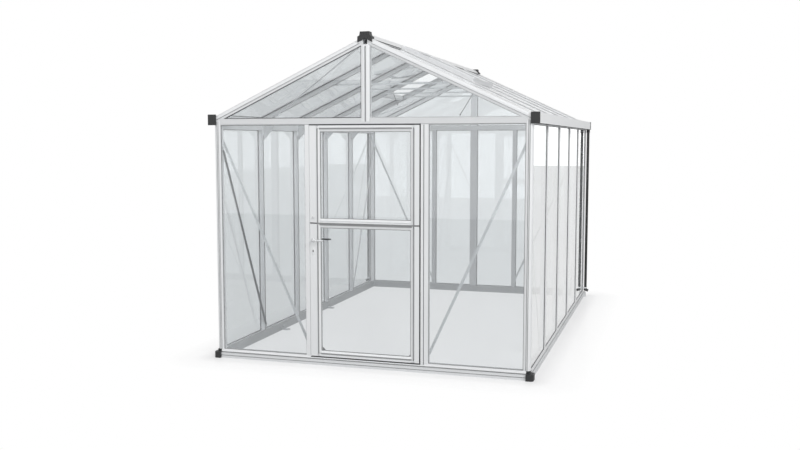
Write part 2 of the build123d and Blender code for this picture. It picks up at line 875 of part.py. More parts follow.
def vent_rails(bay, opening):
    start, end = [edge + step * (sash_width + fit_gap) for edge, step in zip(vent_edges(bay), (1, -1))]
    top, foot = sash_span()
    outline = sash_section()
    lower = Plane(origin=slope_point(foot, start, -fit_gap), x_dir=(-roof_cos, 0, roof_sin), z_dir=back)
    upper = Plane(origin=slope_point(top, end, -fit_gap), x_dir=down_slope, z_dir=(0, -1, 0))
    rails = [prism(outline, lower, end - start), prism(outline, upper, end - start)]
    x, z = hinge_line()
    bead = Pos(x, (start + end) / 2, z) * Rot(90, 0, 0) * Cylinder(vent_bead_radius, end - start)
    return swing([rails[0], rails[1] + bead], opening)


def vent_sash(bay, opening):
    return vent_stiles(bay, opening) + vent_rails(bay, opening)


def vent_glass(bay, opening):
    lap = sash_width - slot_depth + edge_room
    start, end = [edge + step * lap for edge, step in zip(vent_edges(bay), (1, -1))]
    top, foot = sash_span()
    low = -sash_slot_low - 2 * fit_gap
    high = low - glass_thickness
    along = lap * roof_cos
    corners = [slope_point(top + along, 0, low), slope_point(foot - along, 0, low),
               slope_point(foot - along, 0, high), slope_point(top + along, 0, high)]
    return swing([along_house([(x, z) for x, _, z in corners], start, end)], opening)


def vent_sill(bay):
    room = bar_cap_half + fit_gap
    floor = vent_sill_half - slot_depth
    inner_face = frame_depth - bar_head_depth
    outline = [(-vent_sill_half, 0), (vent_sill_half, 0), (vent_sill_half, cover_lip), (floor, cover_lip),
               (floor, seat_depth), (vent_sill_half, seat_depth), (vent_sill_half, inner_face),
               (-vent_sill_half, inner_face)]
    chamber_half = vent_sill_half - metal_wall
    chamber = rectangle_points((-chamber_half, seat_depth + metal_wall),
                               (chamber_half, inner_face - metal_wall))
    start = (vent_sill_reach, bay_start(bay) + room, roof_z(vent_sill_reach))
    plane = Plane(origin=start, x_dir=down_slope, z_dir=Vector(*down_slope).cross(Vector(*under_roof)))
    length = bay_pitch - 2 * room
    sill = extrude(plane * outline_face(outline, [chamber]), amount=length, dir=back)
    return [sill]


def vent_stay(bay, opening):
    """Perforated stay on a pivot eye under the sash's lower rail, with its tail hanging past the sill."""
    middle = bay_start(bay) + bay_pitch / 2
    rail_x = vent_sill_reach + sash_lower_edge - sash_width * roof_cos + stay_seat
    seat = Vertex(*slope_point(rail_x, middle, stay_eye_radius))
    head = Vector(*swing([seat], opening)[0].center())
    past_x = vent_sill_reach - vent_sill_half - stay_clear
    hang = Vector(-sin(radians(stay_lean)), 0, -cos(radians(stay_lean)))
    aim = (Vector(past_x, middle, roof_z(past_x)) - head).normalized() if opening > 0 else hang
    plane = Plane(origin=head, x_dir=aim, z_dir=aim.cross(Vector(*back)))
    strip = Rectangle(stay_length, stay_width, align=(Align.MIN, Align.CENTER))
    first = stay_length - stay_hole_pitch / 2
    for index in range(stay_hole_count):
        strip -= Pos(first - index * stay_hole_pitch, 0) * Circle(stay_hole_radius)
    stay = extrude(plane * strip, amount=stay_thickness / 2, both=True)
    eye = Plane(origin=head, z_dir=back) * Cylinder(stay_eye_radius, stay_width)
    return [stay + eye]


# Door leaves
def leaf_span(upper):
    if upper:
        return leaf_split + door_gap / 2, beam_height - door_gap
    return threshold + door_gap, leaf_split - door_gap / 2


def leaf_section(width):
    front_face = [(0, 0)] + lip_points(width, leaf_groove, leaf_groove_depth) + slot_points(width)
    return front_face + [(width, leaf_depth), (0, leaf_depth)]


def leaf_chamber(width):
    low = (metal_wall, seat_depth + metal_wall)
    return rectangle_points(low, (width - metal_wall, leaf_depth - metal_wall))


def leaf_stiles(upper):
    low, high = leaf_span(upper)
    lock = Plane(origin=(leaf_left, -half_length, low), x_dir=right, z_dir=up)
    hinge = Plane(origin=(leaf_right, -half_length, low), x_dir=left, z_dir=(0, 0, -1))
    lock_piece = prism(leaf_section(lock_stile), lock, high - low, [leaf_chamber(lock_stile)])
    hinge_face = hinge * outline_face(leaf_section(hinge_stile), [leaf_chamber(hinge_stile)])
    hinge_piece = extrude(hinge_face, amount=high - low, dir=up)
    if not upper:
        bore = Pos(handle_x, -half_length, handle_height) * Rot(90, 0, 0)
        lock_piece -= bore * Cylinder(spindle_radius + spindle_play, overrun)
    return [lock_piece, hinge_piece]


def leaf_rails(upper):
    low, high = leaf_span(upper)
    start = leaf_left + lock_stile + fit_gap
    length = leaf_right - hinge_stile - fit_gap - start
    foot_height = meeting_rail if upper else bottom_rail
    head_height = top_rail if upper else meeting_rail
    foot_plane = Plane(origin=(start, -half_length, low), x_dir=up, z_dir=left)
    head_plane = Plane(origin=(start, -half_length, high), x_dir=(0, 0, -1), z_dir=right)
    foot_face = foot_plane * outline_face(leaf_section(foot_height))
    head_face = head_plane * outline_face(leaf_section(head_height))
    return [extrude(foot_face, amount=length, dir=right), extrude(head_face, amount=length, dir=right)]


def leaf_glass(upper):
    low, high = leaf_span(upper)
    lap = slot_depth - edge_room
    foot_height = meeting_rail if upper else bottom_rail
    head_height = top_rail if upper else meeting_rail
    face = pane_face - half_length
    return [block((leaf_left + lock_stile - lap, face, low + foot_height - lap),
                  (leaf_right - hinge_stile + lap, face + glass_thickness, high - head_height + lap))]


def leaf_corner_plates():
    """Triangular plates behind the two lower corners of the lower leaf."""
    low, _ = leaf_span(False)
    corner_z = low + bottom_rail - leaf_plate_inset
    face = fit_gap - half_length + leaf_depth
    lock_x = leaf_left + lock_stile - leaf_plate_inset
    hinge_side = leaf_right - hinge_stile + leaf_plate_inset
    plates = []
    for x, step in ((lock_x, 1), (hinge_side, -1)):
        outline = [(x, corner_z), (x + step * leaf_plate_leg, corner_z), (x, corner_z + leaf_plate_leg)]
        plates.append(along_house(outline, face, face + leaf_plate_thickness))
    return plates


# Hinges
def hinge_heights(upper):
    low, high = leaf_span(upper)
    return low + hinge_from_end, high - hinge_from_end - 2 * hinge_knuckle - hinge_knuckle_gap


def knuckle(height, face_x, flap_x):
    barrel = Pos(hinge_x, -half_length, height) * Cylinder(
        hinge_barrel_radius, hinge_knuckle, align=(Align.CENTER, Align.CENTER, Align.MIN))
    low, high = sorted((face_x, flap_x))
    return barrel + block((low, -half_length, height), (high, hinge_flap_depth - half_length,
                                                        height + hinge_knuckle))


def frame_hinges():
    face = leaf_right + hinge_gap - fit_gap
    pieces = []
    for height in hinge_heights(False) + hinge_heights(True):
        pin = Pos(hinge_x, -half_length, height) * Cylinder(
            hinge_pin_radius, 2 * hinge_knuckle, align=(Align.CENTER, Align.CENTER, Align.MIN))
        pieces.append(knuckle(height, face, face - hinge_flap) + pin)
    return pieces


def leaf_hinges(upper):
    face = leaf_right + fit_gap
    bore_radius = hinge_pin_radius + hinge_pin_play
    pieces = []
    for height in hinge_heights(upper):
        foot = height + hinge_knuckle + hinge_knuckle_gap
        piece = knuckle(foot, face, face + hinge_flap)
        piece -= Pos(hinge_x, -half_length, foot) * Cylinder(bore_radius, overrun)
        pieces.append(piece)
    return pieces


# Handle, lock and knob
def across_door(x, z, start, end, radius):
    """Round bar square to the door, between two depths behind its face."""
    middle = (start + end) / 2 - half_length
    return Pos(x, middle, z) * Rot(90, 0, 0) * Cylinder(radius, end - start)


def lever(start, end):
    """Round-ended grip that starts at the spindle, between two depths behind the door's face."""
    reach = lever_length - lever_width
    middle = (handle_x + reach / 2, start - half_length, handle_height)
    plane = Plane(origin=middle, x_dir=right, z_dir=back)
    return extrude(plane * SlotCenterToCenter(reach, lever_width), amount=end - start, dir=back)


def door_handle():
    outer = -lever_standoff
    inner = leaf_depth + lever_standoff
    handle = across_door(handle_x, handle_height, outer, inner, spindle_radius)
    handle += lever(outer - lever_thickness, outer + lever_lap)
    handle += lever(inner - lever_lap, inner + lever_thickness)
    return [handle]


def door_rosettes():
    bore_radius = spindle_radius + spindle_play
    pieces = []
    for face, step in ((-fit_gap, -1), (leaf_depth + fit_gap, 1)):
        plane = Plane(origin=(handle_x, face - half_length, handle_height), x_dir=right, z_dir=(0, step, 0))
        disc = RegularPolygon(rosette_radius, rosette_sides) - Circle(bore_radius)
        pieces.append(extrude(plane * disc, amount=rosette_thickness, dir=(0, step, 0)))
    return pieces


def door_lock():
    pieces = []
    z = handle_height - lock_drop
    for face, step in ((-fit_gap, -1), (leaf_depth + fit_gap, 1)):
        plane = Plane(origin=(handle_x, face - half_length, z), x_dir=up, z_dir=(0, step, 0))
        outline = chamfer(Rectangle(lock_height, lock_width).vertices(), lock_plate_cut)
        plate = extrude(plane * outline, amount=lock_plate, dir=(0, step, 0))
        tip = face + step * (lock_plate + lock_barrel_proud)
        low, high = sorted((face, tip))
        pieces.append(plate + across_door(handle_x, z, low, high, lock_barrel_radius))
    return pieces


def upper_leaf_knob():
    z = leaf_split + knob_rise
    neck = across_door(handle_x, z, -knob_proud, -fit_gap, knob_neck_radius)
    return [neck + across_door(handle_x, z, -knob_proud, knob_head - knob_proud, knob_radius)]


def mirrored_pieces(make):
    return left_of(make())


nodes = {
    "base_side_rails": base_side_rails(),
    "base_end_rails": base_end_rails(),
    "base_corner_caps": base_corner_caps(),
    "anchor_brackets": anchor_brackets(),
    "corner_posts": corner_posts(),
    "right_wall_bars": right_wall_bars(),
    "left_wall_bars": mirrored_pieces(right_wall_bars),
    "door_posts": door_posts(),
    "hinge_strip": hinge_strip(),
    "back_wall_posts": back_wall_posts(),
    "gable_beams": gable_beams(),
    "gable_posts": gable_posts(),
    "gable_rafters": gable_rafters(),
    "right_eave": right_eave(),
    "left_eave": mirrored_pieces(right_eave),
    "gutter_end_caps": gutter_end_caps(),
    "downpipes": downpipes(),
    "pipe_clips": pipe_clips(),
    "ridge_beam": ridge_beam(),
    "ridge_end_caps": ridge_end_caps(),
    "right_roof_bars": right_roof_bars(),
    "left_roof_bars": mirrored_pieces(right_roof_bars),
    "collar_ties": collar_ties(),
    "knee_plates": knee_plates(),
    "gable_braces": gable_braces(),
    "wall_braces": wall_braces(),
    "roof_braces": roof_braces(),
    "right_wall_glass": right_wall_glass(),
    "left_wall_glass": mirrored_pieces(right_wall_glass),
    "front_wall_glass": front_wall_glass(),
    "back_wall_glass": back_wall_glass(),
    "gable_glass": gable_glass(),
    "right_roof_glass": roof_glass(vent_bay_right),
    "left_roof_glass": left_of(roof_glass(vent_bay_left)),
    "vent_sills": vent_sill(vent_bay_right) + left_of(vent_sill(vent_bay_left)),
    "right_vent_sash": vent_sash(vent_bay_right, 0),
    "left_vent_sash": left_of(vent_sash(vent_bay_left, vent_opening_left)),
    "vent_glass": vent_glass(vent_bay_right, 0) + left_of(vent_glass(vent_bay_left, vent_opening_left)),
    "vent_stays": vent_stay(vent_bay_right, 0) + left_of(vent_stay(vent_bay_left, vent_opening_left)),
    "lower_leaf_frame": leaf_stiles(False) + leaf_rails(False),
    "lower_leaf_glass": leaf_glass(False),
    "lower_leaf_plates": leaf_corner_plates(),
    "lower_leaf_hinges": leaf_hinges(False),
    "upper_leaf_frame": leaf_stiles(True) + leaf_rails(True),
    "upper_leaf_glass": leaf_glass(True),
    "upper_leaf_hinges": leaf_hinges(True),
    "upper_leaf_knob": upper_leaf_knob(),
    "frame_hinges": frame_hinges(),
    "door_rosettes": door_rosettes(),
    "door_lock": door_lock(),
    "door_handle": door_handle(),
}

os.makedirs("parts", exist_ok=True)
for name, pieces in nodes.items():
    solids = [solid for piece in pieces for solid in piece.solids()]
    export_step(Compound(solids), os.path.join("parts", name + ".step"))
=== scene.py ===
from math import cos, pi, radians, sin

import bmesh
import bpy
import numpy as np
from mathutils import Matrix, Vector


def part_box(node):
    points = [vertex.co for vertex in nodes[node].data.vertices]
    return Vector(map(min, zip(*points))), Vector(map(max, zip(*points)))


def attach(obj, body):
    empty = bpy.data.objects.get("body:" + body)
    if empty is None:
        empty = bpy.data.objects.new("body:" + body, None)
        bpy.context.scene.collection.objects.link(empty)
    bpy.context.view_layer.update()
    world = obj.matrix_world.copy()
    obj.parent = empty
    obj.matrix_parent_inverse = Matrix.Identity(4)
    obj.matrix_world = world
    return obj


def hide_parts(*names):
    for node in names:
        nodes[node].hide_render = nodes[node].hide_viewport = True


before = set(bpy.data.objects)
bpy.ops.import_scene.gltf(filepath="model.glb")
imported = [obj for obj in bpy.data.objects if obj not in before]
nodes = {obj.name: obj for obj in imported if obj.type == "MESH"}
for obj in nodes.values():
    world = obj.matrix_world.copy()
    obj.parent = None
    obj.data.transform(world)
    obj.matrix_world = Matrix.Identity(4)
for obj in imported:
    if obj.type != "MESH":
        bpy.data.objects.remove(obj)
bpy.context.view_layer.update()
scene = bpy.context.scene
print("frame loaded:", len(nodes), "nodes")

# Camera, solved from the parallel edges of the house
cameraSet = {"place": (2.1836, -8.1136, 1.6807), "pitch": 5.274, "turn": 17.034, "lens": 40.98,
             "sensor": 36.0, "clipEnd": 400.0}


def placeCamera():
    data = bpy.data.cameras.new("viewCamera")
    data.lens = cameraSet["lens"]
    data.sensor_width = cameraSet["sensor"]
    data.clip_end = cameraSet["clipEnd"]
    camera = bpy.data.objects.new("viewCamera", data)
    camera.location = cameraSet["place"]
    camera.rotation_euler = (radians(90 - cameraSet["pitch"]), 0, radians(cameraSet["turn"]))
    scene.collection.objects.link(camera)
    scene.camera = camera


placeCamera()
scene.view_settings.view_transform = "Standard"
print("camera placed")

# Places read from the frame
houseSet = {"crown": 0.013, "slope": 25.0, "depth": 0.050}
halfWidth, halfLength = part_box("corner_posts")[1][:2]
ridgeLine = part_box("ridge_beam")[1].z - houseSet["crown"]
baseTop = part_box("base_side_rails")[1].z
slopeSin, slopeCos = sin(radians(houseSet["slope"])), cos(radians(houseSet["slope"]))
signs = np.array([(x, y) for x in (1.0, -1.0) for y in (1.0, -1.0)])
houseMiddle = np.array([0.0, 0.0, 1.0])


def roofHeight(x, depth=0.0):  # height of the roof face at x, or of a plane that lies depth under it
    return ridgeLine - np.abs(x) * slopeSin / slopeCos - depth / slopeCos


# Node helpers
def addNode(tree, kind, inputs=None, **settings):
    node = tree.nodes.new(kind)
    for key, value in settings.items():
        setattr(node, key, value)
    for key, value in (inputs or {}).items():
        if hasattr(value, "is_output"):
            tree.links.new(value, node.inputs[key])
        else:
            node.inputs[key].default_value = value
    return node


def calc(tree, operation, first, second=0.0):  # one maths step, on sockets or plain numbers
    return addNode(tree, "ShaderNodeMath", {0: first, 1: second}, operation=operation).outputs[0]


def times(tree, first, second):
    return calc(tree, "MULTIPLY", first, second)


def plus(tree, first, second):
    return calc(tree, "ADD", first, second)


def minus(tree, first, second):
    return calc(tree, "SUBTRACT", first, second)


def spread(tree, value, low, high, start=0.0, end=1.0):  # start..end stretched to low..high
    node = addNode(tree, "ShaderNodeMapRange", {"Value": value, "From Min": start, "From Max": end,
                                                "To Min": low, "To Max": high})
    return node.outputs["Result"]


def noiseOf(tree, vector, scale, detail, rough=0.5):
    node = addNode(tree, "ShaderNodeTexNoise",
                   {"Vector": vector, "Scale": scale, "Detail": detail, "Roughness": rough})
    return node.outputs["Fac"]


def partsOf(tree, vector):  # its X, Y and Z sockets
    return addNode(tree, "ShaderNodeSeparateXYZ", {"Vector": vector}).outputs


def tinted(tree, colour, factor):  # colour times a grey factor
    return addNode(tree, "ShaderNodeVectorMath", {0: colour, 1: factor}, operation="MULTIPLY").outputs[0]


def blendTone(tree, factor, first, second):
    node = addNode(tree, "ShaderNodeMix", {0: factor, 6: first, 7: second}, data_type="RGBA")
    return node.outputs[2]


number, colourKind, vectorKind = "NodeSocketFloat", "NodeSocketColor", "NodeSocketVector"


def newGroup(name, inputs):  # group that gives a colour, a roughness and a height
    group = bpy.data.node_groups.new(name, "ShaderNodeTree")
    common = {"Place": vectorKind, "Tone": colourKind, "Roughness": number}
    for label, kind in {**inputs, **common}.items():
        group.interface.new_socket(label, in_out="INPUT", socket_type=kind)
    for label, kind in (("Color", colourKind), ("Roughness", number), ("Height", number)):
        group.interface.new_socket(label, in_out="OUTPUT", socket_type=kind)
    return group, group.nodes.new("NodeGroupInput").outputs, group.nodes.new("NodeGroupOutput").inputs


def varied(group, given, made, pattern, amount, roughSpread, height):  # pattern shifts tone and roughness
    centred = minus(group, pattern, 0.5)
    factor = plus(group, 1.0, times(group, centred, amount))
    rough = times(group, given["Roughness"], spread(group, pattern, *roughSpread))
    group.links.new(tinted(group, given["Tone"], factor), made["Color"])
    group.links.new(rough, made["Roughness"])
    group.links.new(height, made["Height"])
    return group


# Fine lines that the die leaves along an extruded section, under a faint clouding
grainSet = {"lines": 1.0, "lineShare": 0.6, "lineRough": 0.6, "clouds": 2.2, "cloudShare": 0.4, "detail": 3.0,
            "gain": 4.0, "roughSpread": (0.75, 1.25)}


def drawnGrainGroup():
    s = grainSet
    group, given, made = newGroup("drawnGrain", {"Vector": vectorKind, "Contrast": number})
    lines = noiseOf(group, given["Vector"], s["lines"], s["detail"], s["lineRough"])
    clouds = noiseOf(group, given["Place"], s["clouds"], s["detail"])
    pattern = plus(group, times(group, lines, s["lineShare"]), times(group, clouds, s["cloudShare"]))
    amount = times(group, given["Contrast"], s["gain"])
    return varied(group, given, made, pattern, amount, s["roughSpread"], lines)


# Leafy crystals of a galvanised plate
spangleSet = {"cells": 110.0, "fine": 260.0, "detail": 3.0, "roughSpread": (0.7, 1.3)}


def zincSpangleGroup():
    group, given, made = newGroup("zincSpangle", {"Contrast": number})
    cells = addNode(group, "ShaderNodeTexVoronoi", {"Vector": given["Place"], "Scale": spangleSet["cells"]})
    shade = addNode(group, "ShaderNodeSeparateColor", {"Color": cells.outputs["Color"]}).outputs["Red"]
    fine = noiseOf(group, given["Place"], spangleSet["fine"], spangleSet["detail"])
    return varied(group, given, made, shade, given["Contrast"], spangleSet["roughSpread"], fine)


# Pebbled skin of moulded plastic and rubber, with paler rubbed patches
mouldSet = {"patches": 9.0, "detail": 4.0, "roughSpread": (0.8, 1.2)}


def mouldGrainGroup():
    group, given, made = newGroup("mouldGrain", {"Grain": number, "Rub": number})
    grain = addNode(group, "ShaderNodeTexVoronoi", {"Vector": given["Place"], "Scale": given["Grain"]})
    patches = noiseOf(group, given["Place"], mouldSet["patches"], mouldSet["detail"])
    pebbles = grain.outputs["Distance"]
    return varied(group, given, made, patches, given["Rub"], mouldSet["roughSpread"], pebbles)


grainGroup = drawnGrainGroup()
spangleGroup = zincSpangleGroup()
mouldGroup = mouldGrainGroup()
print("node groups built")


def newMaterial(name):
    material = bpy.data.materials.new(name)
    material.use_nodes = True
    tree = material.node_tree
    shader = tree.nodes["Principled BSDF"]
    place = addNode(tree, "ShaderNodeTexCoord").outputs["Object"]
    return material, tree, shader, place


def useGroup(tree, shader, group, inputs, settings):  # links what the group gives to the shader
    inputs["Roughness"] = settings["roughness"]
    made = addNode(tree, "ShaderNodeGroup", inputs, node_tree=group).outputs
    tree.links.new(made["Color"], shader.inputs["Base Color"])
    tree.links.new(made["Roughness"], shader.inputs["Roughness"])
    shader.inputs["Metallic"].default_value = settings.get("metallic", 0.0)
    bump = addNode(tree, "ShaderNodeBump",
                   {"Height": made["Height"], "Distance": settings["bump"], "Strength": 1.0})
    tree.links.new(bump.outputs["Normal"], shader.inputs["Normal"])


# Aluminium sections, one finish with its lines along each run; the beam, base, back post, underside and
# indoor tones are painted shade
aluminiumSet = {"tone": (0.80, 0.81, 0.82, 1), "paintedBeamShade": (0.67, 0.68, 0.69, 1),
                "paintedBaseShade": (0.73, 0.74, 0.75, 1), "paintedUndersideShade": (0.54, 0.55, 0.56, 1),
                "paintedIndoorShade": (0.49, 0.50, 0.51, 1), "paintedBackPostShade": (0.61, 0.62, 0.63, 1), "contrast": 0.05,
                "roughness": 0.42, "metallic": 0.22, "fine": 700.0, "along": 3.0, "bump": 0.00012,
                "railHalf": 0.3505, "leafMiddle": -0.0065, "level": 0.05, "plan": (1.18, 1.805)}


def stretched(tree, vector, axis):  # fine across the section, slow along its run
    scale = [aluminiumSet["fine"]] * 3
    scale["xyz".index(axis)] = aluminiumSet["along"]
    return addNode(tree, "ShaderNodeMapping", {"Vector": vector, "Scale": scale}).outputs["Vector"]


def slopeVector(tree, place):  # turns the run of either roof slope onto x
    parts = partsOf(tree, place)
    folded = addNode(tree, "ShaderNodeCombineXYZ",
                     {"X": calc(tree, "ABSOLUTE", parts["X"]), "Y": parts["Y"], "Z": parts["Z"]}).outputs[0]
    turn = (0, radians(-houseSet["slope"]), 0)
    return addNode(tree, "ShaderNodeMapping", {"Vector": folded, "Rotation": turn}).outputs["Vector"]


def leafVector(tree, place):  # lines run up the stiles and across the rails of a door leaf
    fromMiddle = minus(tree, partsOf(tree, place)["X"], aluminiumSet["leafMiddle"])
    isRail = calc(tree, "LESS_THAN", calc(tree, "ABSOLUTE", fromMiddle), aluminiumSet["railHalf"])
    upward, sideways = stretched(tree, place, "z"), stretched(tree, place, "x")
    mix = addNode(tree, "ShaderNodeMix", {0: isRail, 4: upward, 5: sideways}, data_type="VECTOR")
    return mix.outputs[1]


def runVector(tree, place, run):
    if run == "slope":
        return stretched(tree, slopeVector(tree, place), "x")
    return leafVector(tree, place) if run == "leaf" else stretched(tree, place, run)


def underside(tree, place):  # faces that don't look up, which get a painted shade tone
    normal = addNode(tree, "ShaderNodeTexCoord").outputs["Normal"]
    return calc(tree, "LESS_THAN", partsOf(tree, normal)["Z"], aluminiumSet["level"])


def indoors(tree, place):  # faces that lie inside the walls, which get a painted shade tone
    parts = partsOf(tree, place)
    inside = [calc(tree, "LESS_THAN", calc(tree, "ABSOLUTE", parts[axis]), reach)
              for axis, reach in zip("XY", aluminiumSet["plan"])]
    return times(tree, *inside)


def aluminium(name, run, tone="tone", where=None, paintedShadeKey=None):  # where masks the faces that get a painted shade tone
    material, tree, shader, place = newMaterial(name)
    shade = aluminiumSet[tone]
    if where:
        shade = blendTone(tree, where(tree, place), shade, aluminiumSet[paintedShadeKey])
    inputs = {"Vector": runVector(tree, place, run), "Place": place, "Tone": shade,
              "Contrast": aluminiumSet["contrast"]}
    useGroup(tree, shader, grainGroup, inputs, aluminiumSet)
    return material


# Flat bars, plates and plated fittings
platedSets = {
    "flat": {"name": "flatBarMetal", "tone": (0.62, 0.635, 0.645, 1), "contrast": 0.08, "roughness": 0.42,
             "metallic": 0.4, "bump": 0.0001},
    # dark metal; on the wall braces' legs this tone is painted shade
    "brace": {"name": "darkMetalAndBraceShade", "tone": (0.23, 0.235, 0.24, 1), "contrast": 0.15, "roughness": 0.5,
              "metallic": 0.2, "bump": 0.0001},
    "plate": {"name": "zincPlate", "tone": (0.62, 0.63, 0.64, 1), "contrast": 0.2, "roughness": 0.45,
              "metallic": 0.4, "bump": 0.0001},
    "fitting": {"name": "satinFitting", "tone": (0.62, 0.63, 0.64, 1), "contrast": 0.05, "roughness": 0.26,
                "metallic": 0.6, "bump": 0.00004},
    "bolt": {"name": "boltSteel", "tone": (0.50, 0.51, 0.52, 1), "contrast": 0.15, "roughness": 0.35,
             "metallic": 0.8, "bump": 0.00004},
}


def platedMetal(settings):
    material, tree, shader, place = newMaterial(settings["name"])
    inputs = {"Place": place, "Tone": settings["tone"], "Contrast": settings["contrast"]}
    useGroup(tree, shader, spangleGroup, inputs, settings)
    return material


# Moulded caps, pipe, grip, seals and dark hinges; some of their tones are painted shade or painted light, as
# noted below
mouldedSets = {
    "cap": {"name": "capPlastic", "tone": (0.018, 0.019, 0.020, 1), "grain": 1100.0, "rub": 0.5,
            "roughness": 0.5, "bump": 0.00025},
    # the rear base caps' pale tone is painted light on the black caps
    "baseCap": {"name": "baseCapPlasticRearLit", "tone": (0.018, 0.019, 0.020, 1), "rearPaintedLight": (0.66, 0.67, 0.68, 1),
                "grain": 1100.0, "rub": 0.5, "roughness": 0.5, "bump": 0.00025},
    "pipe": {"name": "pipePlastic", "tone": (0.010, 0.010, 0.011, 1), "grain": 600.0, "rub": 0.6,
             "roughness": 0.34, "bump": 0.00008},
    # dark rubber of the seals, also painted shade in gaps, channels, under the gutters and at the ridge wings
    "rubber": {"name": "sealRubberAndPaintedShade", "tone": (0.055, 0.057, 0.060, 1), "grain": 1500.0, "rub": 0.5,
               "roughness": 0.65, "bump": 0.0002},
    # grey rubber of the pane seals, also painted shade in the grooves and at the leaves' split
    "greySeal": {"name": "greySealAndPaintedShade", "tone": (0.30, 0.305, 0.31, 1), "grain": 1500.0, "rub": 0.4,
                 "roughness": 0.65, "bump": 0.0002},
    # pale rubber is painted light: lit copies of the seals and of the right rafter's groove shade
    "paleSeal": {"name": "paleSealPaintedLit", "tone": (0.52, 0.53, 0.54, 1), "grain": 1500.0, "rub": 0.3,
                 "roughness": 0.6, "bump": 0.0002},
    # the dark hinges and keyholes are painted shade of the hinge gap and of the keyhole
    "hinge": {"name": "hingeAndKeyholePaintedShade", "tone": (0.045, 0.046, 0.050, 1), "grain": 1500.0, "rub": 0.6,
              "roughness": 0.45, "bump": 0.0001},
    "grip": {"name": "gripPlastic", "tone": (0.018, 0.018, 0.019, 1), "grain": 1800.0, "rub": 0.4,
             "roughness": 0.4, "bump": 0.0001},
}


def moulded(settings):  # pieces behind the middle of the house get a pale tone, painted light
    material, tree, shader, place = newMaterial(settings["name"])
    tone = settings["tone"]
    if "rearPaintedLight" in settings:
        behind = calc(tree, "GREATER_THAN", partsOf(tree, place)["Y"], 0.0)
        tone = blendTone(tree, behind, tone, settings["rearPaintedLight"])
    inputs = {"Place": place, "Tone": tone, "Grain": settings["grain"], "Rub": settings["rub"]}
    useGroup(tree, shader, mouldGroup, inputs, settings)
    return material


# Clear glass that lets light through to what stands behind it
glassSet = {"tint": (0.81, 0.831, 0.841), "shadowTint": (0.98, 0.982, 0.985, 1), "ior": 1.5, "clouds": 2.5,
            "detail": 4.0, "cloudRough": 0.6, "cloudSpan": (0.25, 0.75), "marks": 0.024, "slant": 0.20,
            "grazing": 0.80, "edgePower": 6.0}
roofGlassSet = {**glassSet, "ior": 1.12, "slant": 0.22, "grazing": 0.45}


def clearGlass(name, settings):  # its tint carries a trace of wiped clouds and deepens on slanting views
    material, tree, shader, place = newMaterial(name)
    shader.inputs["Roughness"].default_value = 0.0
    shader.inputs["IOR"].default_value = settings["ior"]
    shader.inputs["Transmission Weight"].default_value = 1.0
    clouds = noiseOf(tree, place, settings["clouds"], settings["detail"], settings["cloudRough"])
    factor = spread(tree, clouds, 1.0, 1.0 - settings["marks"], *settings["cloudSpan"])
    facing = addNode(tree, "ShaderNodeLayerWeight", {"Blend": 0.5}).outputs["Facing"]
    edgeOn = times(tree, calc(tree, "POWER", facing, settings["edgePower"]), settings["grazing"])
    loss = plus(tree, times(tree, facing, settings["slant"]), edgeOn)
    factor = times(tree, factor, minus(tree, 1.0, loss))
    tree.links.new(tinted(tree, settings["tint"], factor), shader.inputs["Base Color"])
    rays = addNode(tree, "ShaderNodeLightPath").outputs
    through = calc(tree, "MAXIMUM", rays["Is Shadow Ray"], rays["Is Diffuse Ray"])
    clear = addNode(tree, "ShaderNodeBsdfTransparent", {"Color": settings["shadowTint"]})
    mix = addNode(tree, "ShaderNodeMixShader", {0: through, 1: shader.outputs[0], 2: clear.outputs[0]})
    tree.links.new(mix.outputs[0], tree.nodes["Material Output"].inputs["Surface"])
    return material


materials = {
    "upright": aluminium("aluminiumUpright", "z"),
    "alongHouse": aluminium("aluminiumAlong", "y"),
    "slope": aluminium("aluminiumSlope", "slope"),
    "leaf": aluminium("aluminiumLeaf", "leaf"),
    # the finishes below carry painted shade: darker tones by part and on faces that lie in shade
    "beam": aluminium("aluminiumBeamPaintedShade", "x", "paintedBeamShade"),
    "roofBar": aluminium("aluminiumRoofBarPaintedShade", "slope", "tone", underside, "paintedUndersideShade"),
    "backPost": aluminium("aluminiumBackPostPaintedShade", "z", "paintedBackPostShade"),
    "baseAlong": aluminium("aluminiumBaseAlongPaintedShade", "y", "paintedBaseShade", indoors, "paintedIndoorShade"),
    "baseAcross": aluminium("aluminiumBaseAcrossPaintedShade", "x", "paintedBaseShade", indoors, "paintedIndoorShade"),
    **{finish: platedMetal(settings) for finish, settings in platedSets.items()},
    **{finish: moulded(settings) for finish, settings in mouldedSets.items()},
    "glass": clearGlass("paneGlass", glassSet),
    "roofGlass": clearGlass("roofPaneGlass", roofGlassSet),
}

finishOf = {
    "upright": ["corner_posts", "right_wall_bars", "left_wall_bars", "door_posts", "hinge_strip",
                "gable_posts"],
    "backPost": ["back_wall_posts"],
    "alongHouse": ["right_eave", "left_eave", "ridge_beam", "vent_sills", "pipe_clips"],
    "baseAlong": ["base_side_rails"],
    "baseAcross": ["base_end_rails"],
    "beam": ["gable_beams"],
    "slope": ["gable_rafters", "right_vent_sash", "left_vent_sash"],
    "roofBar": ["right_roof_bars", "left_roof_bars"],
    "leaf": ["lower_leaf_frame", "upper_leaf_frame"],
    "flat": ["collar_ties", "gable_braces", "wall_braces", "roof_braces"],
    "brace": ["vent_stays", "lower_leaf_plates"],
    "plate": ["knee_plates", "anchor_brackets"],
    "fitting": ["door_handle", "door_rosettes", "door_lock", "upper_leaf_knob"],
    "cap": ["gutter_end_caps", "ridge_end_caps"],
    "baseCap": ["base_corner_caps"],
    "pipe": ["downpipes"],
    "hinge": ["frame_hinges", "lower_leaf_hinges", "upper_leaf_hinges"],
    "glass": [name for name in nodes if name.endswith("_glass") and "roof" not in name],
    "roofGlass": [name for name in nodes if name.endswith("_roof_glass")],
}


